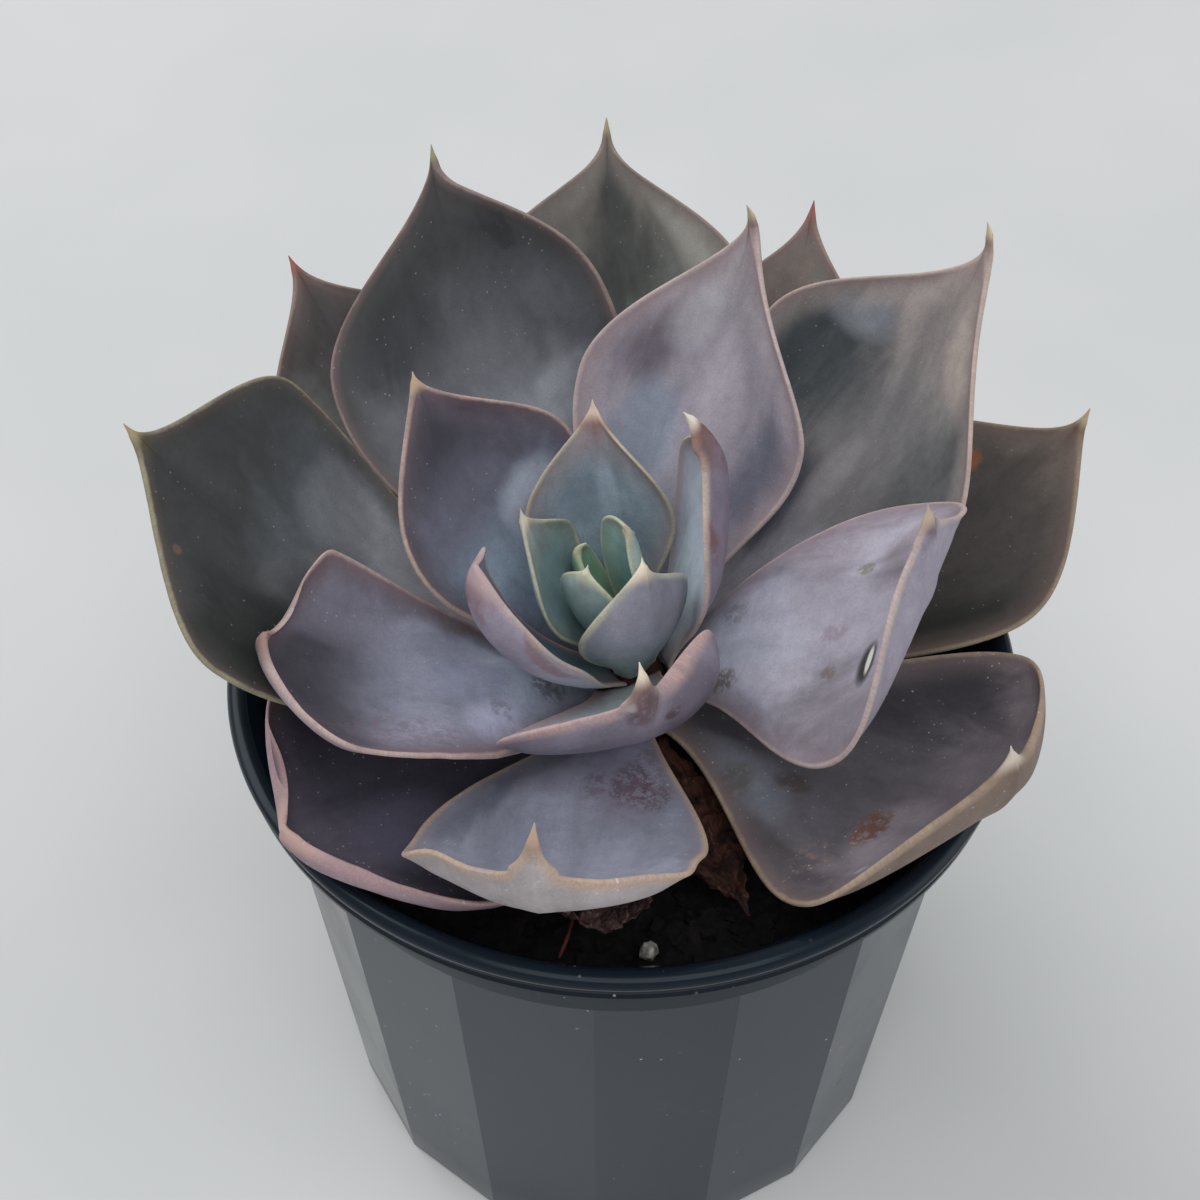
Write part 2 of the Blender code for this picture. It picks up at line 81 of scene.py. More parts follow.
# at the root, the middle and the margin, of leaves 10, 30 and 60 long
THICKNESSES = ((1.1, 1.5, 1.9), (1.3, 2.0, 3.0), (0.7, 0.9, 1.2))
PRESS_STEP = 0.15
PRESS_STEPS = 60
BUD_RADIUS = 2.6
BUD_RISE = 1.8

# Camera, at the photograph's place
CAMERA_BACK = 187.6
CAMERA_HEIGHT = 287.0
CAMERA_YAW = -0.864
CAMERA_PITCH = 46.53
CAMERA_ROLL = 0.237
CAMERA_LENS = 66.0

# Lights, in metres and watts: name, place, energy, size and colour
LIGHTS = (
    ("window", (-0.9, 0.6, 1.3), 12.0, 1.3, (1.0, 0.99, 0.98)),
    ("front", (0.1, -0.75, 1.3), 8.0, 1.2, (1.0, 1.0, 1.0)),
    ("side", (1.2, -0.1, 0.6), 3.0, 0.9, (1.0, 1.0, 1.0)),
)
LIT_PLACE = (0.0, 0.0, 0.08)


@dataclass
class Leaf:
    """One leaf, in millimetres and degrees. Age is its place in the spiral, and 1 is the youngest."""
    age: int
    length: float
    width: float
    rise: tuple                # slope of the midrib at its base, middle and tip
    lean: float = 0.0          # how far it grows off the spiral's own bearing
    turn: float = 0.0          # sideways bend from base to tip
    roll: tuple = (0.0, 0.0)   # twist at the base and the tip
    cup: tuple = (30.0, 30.0)  # slope of the left and right margin
    fold: float = 10.0         # at the midrib near the tip
    shoulder: float = 2.2      # how square the blade is past its widest place
    point: float = 2.0         # how drawn out its tip is
    widest: float = 0.6        # where it is widest, as a share of its length
    spine: float = 15.0        # extra upward bend of the end spine
    spur: float = 0.0          # share of the length taken by a spine past a blunt blade
    lift: float = 0.0          # height above the spiral's own
    thin: float = 1.0          # share of a fresh leaf's thickness


HEART = (
    Leaf(1, 16, 12, (74, 64, 130), lean=30, roll=(0, 40), cup=(24, 24), shoulder=1.4, point=3,
         spine=12),
    Leaf(2, 20.5, 11.5, (50, 74, 98), lean=-41, cup=(26, 22), point=1.8, spine=8),
    Leaf(3, 22.5, 14, (84, 105, 112), lean=20, turn=-8, roll=(0, -60), cup=(20, 30), fold=6,
         shoulder=1.8, point=2.2, spine=8),
)
LEAVES = (
    Leaf(4, 25, 15, (66, 62, 84), lean=-8, roll=(-4, -11), cup=(18, 36), fold=12, point=2.1,
         widest=0.5, spine=-3),
    Leaf(5, 24, 17, (72, 76, 130), lean=-42, roll=(5, 32), cup=(48, 17), fold=5, point=1.9, spine=12),
    Leaf(6, 31, 19.5, (62, 65, 73), lean=9, turn=-3, roll=(0, -28), cup=(30, 54), fold=15,
         widest=0.53, spine=5),
    Leaf(7, 38, 21, (34, 56, 96), lean=-17, turn=-6, roll=(14, -22), cup=(62, 40), fold=15, shoulder=3,
         point=0.8, widest=0.57),
    Leaf(8, 42, 22, (80, 82, 140), lean=-1, roll=(0, -9), fold=24, shoulder=2.6, point=1.5, widest=0.5,
         spine=-14, spur=0.1),
    Leaf(9, 44, 31, (43, 49, 71), turn=-9, roll=(0, -10), cup=(25, 32), point=1.9, widest=0.53,
         spine=10),
    Leaf(10, 39, 33, (26, 49, 112), lean=-21, turn=22, roll=(12, 8), cup=(96, 30), fold=3,
         shoulder=3.4, point=1.4, widest=0.62, spine=22, spur=0.13),
    Leaf(11, 60, 34, (45, 58, 89), lean=6, turn=-38, cup=(32, 35), fold=13, shoulder=1.8,
         point=2.1, widest=0.52, spine=26),
    Leaf(12, 52, 33, (35, 23, 50), lean=8, turn=-29, roll=(0, -9), cup=(42, 32), fold=15,
         point=1.8, widest=0.75, spine=72),
    Leaf(13, 60, 36, (66, 42, 136), lean=-3, turn=-36, roll=(36, 25), cup=(-27, 6), fold=11,
         shoulder=2.3, point=0.8, spine=-30, spur=0.06),
    Leaf(14, 75, 42, (21, 30, 23), lean=1, turn=-20, roll=(0, -50), cup=(24, 31), fold=9, point=2.2),
    Leaf(15, 63, 34.5, (26, 24, 123), lean=1, roll=(0, 8), cup=(17, 14), fold=18, shoulder=5,
         point=1.6, widest=0.55, spine=-4, spur=0.11),
    Leaf(16, 74, 46, (20, 49, 80), lean=4, turn=-23, cup=(34, 22), fold=16, point=3.0, widest=0.57,
         spine=25),
    Leaf(17, 71, 45, (14, 43, 56), lean=9, turn=-2, roll=(0, -10), cup=(9, 16), fold=5,
         shoulder=2.4, point=2.4, widest=0.7, spine=7),
    Leaf(18, 62.5, 45.5, (10, 22, 100), lean=19.5, turn=-25, roll=(4, 1), cup=(48, 9), fold=8,
         shoulder=2.6, point=1.9, widest=0.64, lift=-0.2),
    Leaf(19, 82, 40, (19, 22, 25), lean=6, turn=-1, cup=(32, 32), fold=15, point=2.3,
         widest=0.62, spine=20),
    Leaf(20, 52, 42, (11, 9, 42), lean=-5, turn=3, roll=(14, -12), cup=(60, 45), fold=12, shoulder=3.4,
         point=1, widest=0.64, spine=60, spur=0.02, lift=0.6),
    Leaf(21, 67, 38, (21, 17, 58), lean=22, roll=(-8, 14), cup=(27, 24), fold=0, point=2.1),
    Leaf(22, 75, 39, (9, 20, 34), lean=-10, roll=(0, -5), cup=(28, 31), fold=12, point=1.9, spine=10),
    Leaf(24, 76, 35, (21, 17, 50), lean=12, turn=9, cup=(28, 18), fold=11, point=1.9, widest=0.57,
         lift=-0.4),
)
DRY_LEAVES = (
    Leaf(23, 33, 15, (2, 2, 4), lean=-11, cup=(40, 45), fold=15, shoulder=5, point=0.8, spine=0,
         lift=1.2, thin=0.5),
    Leaf(31, 34, 12, (-14, 6, 25), lean=-6, cup=(60, 55), fold=25, spine=0, lift=5.4, thin=0.5),
)


def srgb(*colour):
    """A colour given as 0 to 255, in linear light."""
    shares = (value / 255.0 for value in colour)
    return tuple(c / 12.92 if c <= 0.04045 else ((c + 0.055) / 1.055) ** 2.4 for c in shares)


def ring_faces(count, sides):
    """Faces that join rings of points, each with the same number of sides."""
    faces = []
    for ring in range(count - 1):
        for k in range(sides):
            after = (k + 1) % sides
            low, high = ring * sides, (ring + 1) * sides
            faces.append((low + k, low + after, high + after, high + k))
    return faces


def turned(rings, sides, corner=0.0):
    """Points and faces of a closed turned body. Each ring is a height and a radius function."""
    bearings = math.radians(corner) + np.arange(sides) * 2 * math.pi / sides
    points = [(radius(b) * math.cos(b), radius(b) * math.sin(b), height)
              for height, radius in rings for b in bearings]
    faces = ring_faces(len(rings), sides)
    for height, first in ((rings[0][0], 0), (rings[-1][0], (len(rings) - 1) * sides)):
        middle = len(points)
        points.append((0.0, 0.0, height))
        faces += [(middle, first + k, first + (k + 1) % sides) for k in range(sides)]
    return points, faces


def facet_radius(corner_radius):
    """Radius function of the many-sided wall, as far as its corners reach."""
    step = 2 * math.pi / FACETS

    def radius(bearing):
        along = (bearing - math.radians(FACET_CORNER)) % step
        return corner_radius * math.cos(step / 2) / math.cos(along - step / 2)
    return radius


def round_radius(value):
    return lambda bearing: value


def wall_radius(height):
    """Radius of the pot's round inner wall."""
    inset = math.cos(math.pi / FACETS)
    low = FOOT_RADIUS * inset - WALL
    high = FACET_TOP_RADIUS * inset - WALL
    return low + (high - low) * height / FACET_TOP


def stem_radius(height):
    """Radius of the stem, whose round tip widens downward as the leaves grow older."""
    age = max(0.0, (STEM_TIP - height) / AGE_STEP)
    return STEM_SPREAD * math.sqrt(age)


def soil_height(x, y):
    """Height of the lumpy soil surface."""
    waves = math.sin(0.31 * x + 1.3) * math.cos(0.27 * y) + 0.6 * math.sin(0.55 * x - 0.47 * y)
    return SOIL_TOP + SOIL_LUMP * waves


def half_width(leaf, u):
    """Half the blade's width along its length, as a share of the greatest."""
    neck = np.interp(leaf.age, (0, 6, 14), (0.46, 0.30, 0.19))
    out = np.clip(u / leaf.widest, 0.0, 1.0)
    widening = neck + (1.0 - neck) * (0.5 - 0.5 * np.cos(np.pi * out)) ** 0.85
    past = np.clip((u - leaf.widest) / (1.0 - leaf.spur - leaf.widest), 0.0, 1.0)
    return np.where(u < leaf.widest, widening, (1.0 - past ** leaf.shoulder) ** leaf.point)


def spine_width(leaf, u):
    """Half the width of the end spine, which flares where it leaves a blunt blade."""
    if leaf.spur == 0.0:
        return np.full_like(u, TIP_HALF_WIDTH)
    flare = np.clip((1.0 - u) / leaf.spur, 0.0, 1.0)
    return TIP_HALF_WIDTH + SPINE_FLARE * flare ** 2


def thickness(leaf, u, v):
    """Thickness over the blade: full along the middle, thin at the margins."""
    root, middle, margin = (np.interp(leaf.length, (10, 30, 60), found) for found in THICKNESSES)
    full = np.interp(u, (0.0, 0.35, 0.75, 1.0), (root, middle, 0.8 * middle, 0.9))
    shape = margin + (full[:, None] - margin) * (1.0 - np.abs(v) ** 2.2)[None]
    return np.maximum(shape * leaf.thin, 0.7)


def leaf_seat(leaf):
    """Bearing, radius and height where the leaf leaves the stem, SEAT clear of it."""
    bearing = SPIRAL_START + GOLDEN_ANGLE * leaf.age + leaf.lean
    height = STEM_TIP - AGE_STEP * leaf.age + leaf.lift
    half = thickness(leaf, np.zeros(1), np.zeros(1))[0, 0] / 2
    slope = math.radians(leaf.rise[0])
    radius = 0.0
    for side in (-1.0, 0.0, 1.0):
        needed = stem_radius(height + side * half * math.cos(slope)) + side * half * math.sin(slope)
        radius = max(radius, needed + SEAT)
    return bearing, radius, height


def direction(rise, heading):
    """Unit vectors that climb and head by these angles."""
    level = np.cos(rise)
    return np.stack([level * np.cos(heading), level * np.sin(heading), np.sin(rise)], -1)


def midrib(leaf, u):
    """Points and frame of the midrib: its place, to the left, and up out of the blade."""
    fine = np.linspace(0.0, 1.0, 241)
    base, middle, tip = leaf.rise
    knee = 0.55            # where the middle slope holds
    rise = (base * (fine - knee) * (fine - 1.0) / knee
            + middle * fine * (fine - 1.0) / (knee * (knee - 1.0))
            + tip * fine * (fine - knee) / (1.0 - knee))
    end = np.clip((fine - 0.86) / 0.14, 0.0, 1.0)
    rise = np.radians(rise + leaf.spine * end * end * (3.0 - 2.0 * end))
    bearing, radius, height = leaf_seat(leaf)
    heading = np.radians(bearing + leaf.turn * fine ** 1.5)
    along = direction(rise, heading)
    steps = (along[1:] + along[:-1]) / 2 * leaf.length / (len(fine) - 1)
    start = math.radians(bearing)
    root = np.array([STEM_X + radius * math.cos(start), radius * math.sin(start), height])
    line = root + np.vstack([np.zeros(3), np.cumsum(steps, axis=0)])
    place = np.stack([np.interp(u, fine, line[:, k]) for k in range(3)], -1)
    rise = np.interp(u, fine, rise)
    heading = np.interp(u, fine, heading)
    left = np.stack([-np.sin(heading), np.cos(heading), 0.0 * heading], -1)
    up = np.cross(direction(rise, heading), left)
    twist = np.radians(leaf.roll[0] + (leaf.roll[1] - leaf.roll[0]) * u)[:, None]
    return place, np.cos(twist) * left + np.sin(twist) * up, np.cos(twist) * up - np.sin(twist) * left


def running_sum(rows):
    """Sum of each row from its start, over a length of one."""
    step = 1.0 / (rows.shape[1] - 1)
    return np.hstack([np.zeros((len(rows), 1)), np.cumsum((rows[:, 1:] + rows[:, :-1]) / 2 * step, 1)])


def blade(leaf, u, v, reach=None):
    """Middle surface of the blade and its normals, at stations u along and v across."""
    place, left, up = midrib(leaf, u)
    if reach is None:
        reach = np.cbrt((half_width(leaf, u) * leaf.width / 2) ** 3 + spine_width(leaf, u) ** 3)
    opening = 0.35 + 0.65 * np.sin(np.pi / 2 * np.clip(u / 0.7, 0.0, 1.0))
    crease = np.radians(leaf.fold) * u ** 2
    fine = np.linspace(0.0, 1.0, 41)
    surface = np.zeros((len(u), len(v), 3))
    normal = np.zeros_like(surface)
    for side, cup in ((1.0, leaf.cup[0]), (-1.0, leaf.cup[1])):
        slope = (crease[:, None] * np.tanh(4.0 * fine)
                 + math.radians(cup) * opening[:, None] * fine ** 1.5)
        run = running_sum(np.cos(slope))
        climb = running_sum(np.sin(slope))
        for j, across in enumerate(v):
            if across * side < 0.0:
                continue
            at = lambda table: np.array([np.interp(abs(across), fine, row) for row in table])
            lean = at(slope)[:, None]
            surface[:, j] = (place + (at(run) * reach)[:, None] * left * side
                             + (at(climb) * reach)[:, None] * up)
            normal[:, j] = np.cos(lean) * up - np.sin(lean) * left * side
    return surface, normal


def stations(leaf):
    """Stations along and across the blade, closer together toward the tip."""
    along, across = GRID_FINE if leaf.age >= FINE_AGE and leaf.thin == 1.0 else GRID_SMALL
    return 1.0 - (1.0 - np.linspace(0.0, 1.0, along)) ** 1.25, np.linspace(-1.0, 1.0, across)


def leaf_body(leaf, surface, normal, margin=0.0):
    """Points and faces of one leaf as a closed body, grown on all sides by a margin."""
    u, v = stations(leaf)
    along, across = len(u), len(v)
    half = thickness(leaf, u, v)[..., None] / 2 + margin
    if margin:
        surface = surface.copy()
        span = surface[:, -1] - surface[:, 0]
        span *= margin / np.linalg.norm(span, axis=1)[:, None]
        surface[:, -1] += span
        surface[:, 0] -= span
    rings = np.concatenate([surface + normal * half, (surface - normal * half)[:, ::-1]], axis=1)
    sides = 2 * across
    faces = []
    for i in range(along - 1):
        for k in range(sides):
            after = (k + 1) % sides
            a, b = i * sides + k, i * sides + after
            d, c = a + sides, b + sides
            faces += [(a, b, c), (a, c, d)] if k < across else [(a, b, d), (b, c, d)]
    for first in (0, (along - 1) * sides):
        for k in range(across - 1):
            a, b = first + k, first + k + 1
            c, d = first + sides - 2 - k, first + sides - 1 - k
            faces += [(a, c, b), (a, d, c)] if first == 0 else [(a, b, c), (a, c, d)]
    return rings.reshape(-1, 3), faces


def off_stem(points):
    """Move points out of the stem and up off the soil, clear of both."""
    moved = points.copy()
    for point in moved.reshape(-1, 3):
        dx, dy, height = point[0] - STEM_X, point[1], point[2]
        reach = math.hypot(dx, dy)
        needed = stem_radius(height) + SEAT
        if reach < needed:
            point[0] = STEM_X + dx * needed / reach
            point[1] = dy * needed / reach
        point[2] = max(height, soil_height(point[0], point[1]) + 2.0 * SEAT)
    return moved


def tree_of(points, faces):
    return BVHTree.FromPolygons([tuple(p) for p in points], faces)


def settle(leaf, above):
    """Press a leaf's blade down and away wherever it would touch one of the leaves above it."""
    u, v = stations(leaf)
    surface, normal = blade(leaf, u, v)
    push = np.zeros(surface.shape[:2])
    across = len(v)
    for attempt in range(PRESS_STEPS):
        points, faces = leaf_body(leaf, surface - normal * push[..., None], normal)
        tree = tree_of(points, faces)
        hit = np.zeros_like(push)
        for other in above:
            for face, there in tree.overlap(other):
                for vertex in faces[face]:
                    i, k = divmod(vertex, 2 * across)
                    hit[i, k if k < across else 2 * across - 1 - k] = 1.0
        if not hit.any():
            break
        half = np.pad(0.5 * hit, 1)
        push += PRESS_STEP * np.maximum.reduce(
            [hit, half[:-2, 1:-1], half[2:, 1:-1], half[1:-1, :-2], half[1:-1, 2:]])
    above.append(tree_of(*leaf_body(leaf, surface - normal * push[..., None], normal, SEAT)))
    return push


def bud_body(sides, steps):
    """Points and faces of the bud that the youngest leaves grow from."""
    middle = STEM_TIP + SEAT + BUD_RISE
    rings = []
    for k in range(1, steps):
        swing = math.pi * k / steps
        rings.append((middle - BUD_RISE * math.cos(swing), round_radius(BUD_RADIUS * math.sin(swing))))
    points, faces = turned(rings, sides)
    return [(x + STEM_X, y, z) for x, y, z in points], faces


# Fine meshes


def smooth(x, low, high):
    t = np.clip((x - low) / (high - low), 0.0, 1.0)
    return t * t * (3.0 - 2.0 * t)


def resample(grid, u0, v0, u1, v1):
    """A grid on stations u0, v0 read at stations u1, v1."""
    rows = np.array([np.interp(v1, v0, row) for row in grid])
    return np.stack([np.interp(u1, u0, rows[:, j]) for j in range(len(v1))], -1)


def soften(grid, rounds=2):
    """Blur a grid a little, so that a pressed place has no steps."""
    for k in range(rounds):
        padded = np.pad(grid, 1, mode="edge")
        grid = (padded[1:-1, 1:-1] * 4 + padded[:-2, 1:-1] + padded[2:, 1:-1]
                + padded[1:-1, :-2] + padded[1:-1, 2:]) / 8
    return grid


def add_piece(name, points, faces, looks, node, slot_name, values=None):
    """One dressed mesh, in place of a CAD node. The values are attributes of its points."""
    mesh = bpy.data.meshes.new(name)
    points = np.asarray(points, dtype=np.float32) * MM
    mesh.from_pydata([tuple(p) for p in points.tolist()], [], [tuple(map(int, face)) for face in faces])
    mesh.update()
    for key, value in (values or {}).items():
        layer = mesh.attributes.new(key, "FLOAT", "POINT")
        layer.data.foreach_set("value", value.astype(np.float32))
    mesh.shade_smooth()
    mesh.materials.append(looks)
    made = bpy.data.objects.new(name, mesh)
    bpy.context.scene.collection.objects.link(made)
    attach(made, "root")
    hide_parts(node)
    return made


FINE_ALONG = 96
FINE_ACROSS = 53
POINT_HALF_WIDTH = 0.07    # of the end spine, at its very point
POINT_SLOPE = 0.20
POINT_LENGTH = 2.4
EDGE_HALF = 0.33           # half the thickness of a blade at its margin
EDGE_RUN = 4.5             # how far in from the margin it reaches its full thickness
END_ROUNDING = 0.3
FULL_WIDTH = 40.0          # of a leaf with its waves, keel and crease in full
CRUMPLE_SEED = 7
CRUMPLE_SIZE = 3.0
CRUMPLE_DEPTH = 0.8
# what the points of a leaf know about their place on it, for its colours
ATTRIBUTES = ("along", "across", "along_mm", "across_mm", "margin_mm", "under")
# swellings of single margins: along, across, how far they spread and how high, all in millimetres
RIPPLES = {
    15: ((48.5, -12.5, 4.5, 1.4), (51.5, 7.0, 3.5, -0.5), (38.0, 16.0, 6.0, 1.1)),
}


def fine_reach(leaf, u):
    """Half the width along the blade, drawn out into a sharp spine."""
    ending = (1.0 - u) * leaf.length
    spine = POINT_HALF_WIDTH + POINT_SLOPE * np.minimum(ending, POINT_LENGTH)
    if leaf.spur:
        spine = spine + SPINE_FLARE * np.clip((1.0 - u) / leaf.spur, 0.0, 1.0) ** 2.5
    return np.cbrt((half_width(leaf, u) * leaf.width / 2) ** 3 + spine ** 3)


def margin_distance(leaf, u, v, reach):
    """How far each place of the flat blade is from the margin."""
    dense = np.linspace(0.0, 1.0, 240)
    dense = 1.0 - (1.0 - dense) ** 1.5
    side = fine_reach(leaf, dense)
    outline = np.stack([np.concatenate([dense, dense]) * leaf.length, np.concatenate([side, -side])], -1)
    places = np.stack(np.broadcast_arrays((u * leaf.length)[:, None], v[None] * reach[:, None]), -1)
    gaps = np.linalg.norm(places[:, :, None] - outline[None, None], axis=-1)
    return np.minimum(gaps.min(-1), reach[:, None] * (1.0 - np.abs(v))[None])


def shell_faces(rows, columns):
    """Faces of a closed blade: the upper grid, the lower one, which shares its margins, and the ends."""
    up = np.arange(rows * columns).reshape(rows, columns)
    low = up.copy()
    low[:, 1:-1] = rows * columns + np.arange(rows * (columns - 2)).reshape(rows, -1)

    def quads(*corners):
        return np.stack(corners, -1).reshape(-1, 4).tolist()

    faces = quads(up[1:, :-1], up[1:, 1:], up[:-1, 1:], up[:-1, :-1])
    faces += quads(low[:-1, :-1], low[:-1, 1:], low[1:, 1:], low[1:, :-1])
    for end, order in ((0, 1), (-1, -1)):
        ends = quads(up[end, :-1], up[end, 1:], low[end, 1:], low[end, :-1])
        faces += [list(dict.fromkeys(face))[::order] for face in ends]
    return faces


def rounded(share, least=0.0):
    """Height of a quarter circle, as a share of its radius."""
    return np.sqrt(np.clip(1.0 - (1.0 - np.clip(share, 0.0, 1.0)) ** 2, least, 1.0))


def slow_waves(leaf, uu, vv, reach):
    """How far the blade swings up and down, and its single ripples."""
    phase = np.random.default_rng(leaf.age).uniform(0.0, 2 * math.pi, 6)
    wave = (0.26 * np.sin(2 * math.pi * 1.1 * uu + phase[0]) * vv ** 2
            + 0.16 * np.sin(2 * math.pi * (2.0 * uu + 0.5 * vv) + phase[1])
            + 0.07 * np.sin(2 * math.pi * (3.1 * uu - 1.1 * vv) + phase[2])) * (leaf.width / FULL_WIDTH)
    wave *= smooth(uu, 0.08, 0.35) * smooth(1.0 - uu, 0.0, 0.15)
    for place, aside, spread, height in RIPPLES.get(leaf.age, ()):
        far = ((uu * leaf.length - place) ** 2 + (vv * reach[:, None] - aside) ** 2) / spread ** 2
        wave = wave + height * np.exp(-far)
    return wave


def fine_leaf(leaf, push):
    """One leaf in fine detail: thin rounded margins, a sharp spine, a faint keel and slow waves."""
    u = 1.0 - (1.0 - np.linspace(0.0, 1.0, FINE_ALONG)) ** 1.25
    v = np.sin(np.linspace(-math.pi / 2, math.pi / 2, FINE_ACROSS))
    uu, vv = np.meshgrid(u, v, indexing="ij")
    reach = fine_reach(leaf, u)
    surface, normal = blade(leaf, u, v, reach)
    pressed = resample(soften(push), *stations(leaf), u, v)
    surface = surface + normal * (slow_waves(leaf, uu, vv, reach) - pressed)[..., None]
    margin = margin_distance(leaf, u, v, reach)
    size = leaf.width / FULL_WIDTH
    edge = EDGE_HALF * (0.6 + 0.4 * min(size, 1.0)) * leaf.thin
    run = np.minimum(EDGE_RUN, 0.6 * reach)[:, None]
    half = edge + (thickness(leaf, u, v) / 2 - edge) * smooth(margin / run, 0.0, 1.0)
    half = np.minimum(half, 0.8 * reach[:, None])
    ending = (1.0 - uu) * leaf.length
    half = half * rounded(margin / edge) * rounded(ending / END_ROUNDING, 0.02)
    keel = 0.28 * size * smooth(uu, 0.25, 0.8) * np.exp(-(vv / 0.07) ** 2)
    crease = 0.14 * size * smooth(uu, 0.15, 0.6) * np.exp(-(vv / 0.05) ** 2)
    inside = smooth(margin, 0.1, 1.2)
    upper = off_stem(surface + normal * (half - crease * inside)[..., None])
    lower = off_stem(surface - normal * (half + keel * inside)[..., None])
    points = np.concatenate([upper.reshape(-1, 3), lower[:, 1:-1].reshape(-1, 3)])
    flat = np.zeros_like(uu)
    values = [(value, value) for value in (uu, vv, uu * leaf.length, vv * reach[:, None], margin)]
    values = [np.concatenate([above.ravel(), below[:, 1:-1].ravel()])
              for above, below in values + [(flat, flat + 1.0)]]
    return points, dict(zip(ATTRIBUTES, values))


# Materials


class Graph:
    """Short names for building one material's nodes."""

    def __init__(self, name):
        self.material = bpy.data.materials.new(name)
        self.material.use_nodes = True
        self.tree = self.material.node_tree

    def put(self, socket, value):
        if isinstance(value, bpy.types.NodeSocket):
            self.tree.links.new(value, socket)
        elif isinstance(value, tuple) and len(value) == 3 and socket.type == "RGBA":
            socket.default_value = (*value, 1.0)
        else:
            socket.default_value = value

    def node(self, kind, output, inputs, **settings):
        """One output of a new node, whose inputs are given by name or number."""
        made = self.tree.nodes.new(kind)
        for key, value in settings.items():
            setattr(made, key, value)
        for key, value in inputs.items():
            self.put(made.inputs[key], value)
        return made.outputs[output]

    def math(self, operation, *values):
        return self.node("ShaderNodeMath", 0, dict(enumerate(values)), operation=operation)

    def plus(self, a, b):
        return self.math("ADD", a, b)

    def minus(self, a, b):
        return self.math("SUBTRACT", a, b)

    def times(self, a, b):
        return self.math("MULTIPLY", a, b)

    def square(self, a):
        return self.times(a, a)

    def swing(self, value, size):
        """A value round one half, as a swing to both sides of zero."""
        return self.times(self.minus(value, 0.5), size)

    def distance(self, along, across, patch):
        """Squared distance from a patch's middle, where its reach each way counts as one."""
        a = self.math("DIVIDE", self.minus(along, patch.along), patch.reach[0])
        b = self.math("DIVIDE", self.minus(across, patch.across), patch.reach[1])
        return self.plus(self.square(a), self.square(b))

    def ramp(self, value, low, high, out_low=0.0, out_high=1.0):
        inputs = {"Value": value, "From Min": low, "From Max": high, "To Min": out_low, "To Max": out_high}
        return self.node("ShaderNodeMapRange", 0, inputs, interpolation_type="SMOOTHSTEP")

    def mix(self, share, a, b, blend="MIX"):
        return self.node("ShaderNodeMix", 2, {0: share, 6: a, 7: b}, data_type="RGBA", blend_type=blend)

    def tint(self, share, colour, other):
        """Mix in another colour, given as 0 to 255."""
        return self.mix(share, colour, srgb(*other))

    def shade(self, colour, tone):
        return self.mix(1.0, colour, self.combine(tone, tone, tone), "MULTIPLY")

    def attribute(self, name):
        return self.node("ShaderNodeAttribute", "Fac", {}, attribute_name=name)

    def combine(self, x, y, z):
        return self.node("ShaderNodeCombineXYZ", 0, {0: x, 1: y, 2: z})

    def place(self):
        return self.node("ShaderNodeTexCoord", "Object", {})

    def noise(self, vector, scale, detail=3.0, rough=0.55, distort=0.0):
        inputs = {"Vector": vector, "Scale": scale, "Detail": detail, "Roughness": rough,
                  "Distortion": distort}
        return self.node("ShaderNodeTexNoise", "Fac", inputs)

    def cells(self, vector, scale):
        return self.node("ShaderNodeTexVoronoi", "Distance", {"Vector": vector, "Scale": scale})

    def specks(self, colour, cells, places, strength, other):
        """Pale specks at the middles of cells, in some places only."""
        share = self.times(self.times(self.ramp(cells, 0.13, 0.06), places), strength)
        return self.tint(share, colour, other)

    def bump(self, height, strength, distance, **before):
        inputs = {"Height": height, "Strength": strength, "Distance": distance, **before}
        return self.node("ShaderNodeBump", 0, inputs)

    def finish(self, **values):
        shader = self.tree.nodes["Principled BSDF"]
        for key, value in values.items():
            self.put(shader.inputs[key.replace("_", " ")], value)
        return self.material


@dataclass
class Look:
    """Colours of one leaf, 0 to 255, and how far they reach."""
    root: tuple                # along the upper face
    body: tuple
    tip: tuple
    side: tuple
    rim: tuple
    under: tuple
    stain: tuple               # round the foot of the end spine
    spine: tuple
    stain_mm: float
    rim_mm: float
    turns: tuple = (0.15, 0.45, 0.6, 0.95)   # along: root ends, body begins and ends, tip begins
    warmth: float = 0.45       # of the soft zone inside the rim
    under_root: tuple = ()
    dust: float = 0.3
    frost: float = 0.0         # tiny bright grains near the margin
    frost_mm: float = 9.0


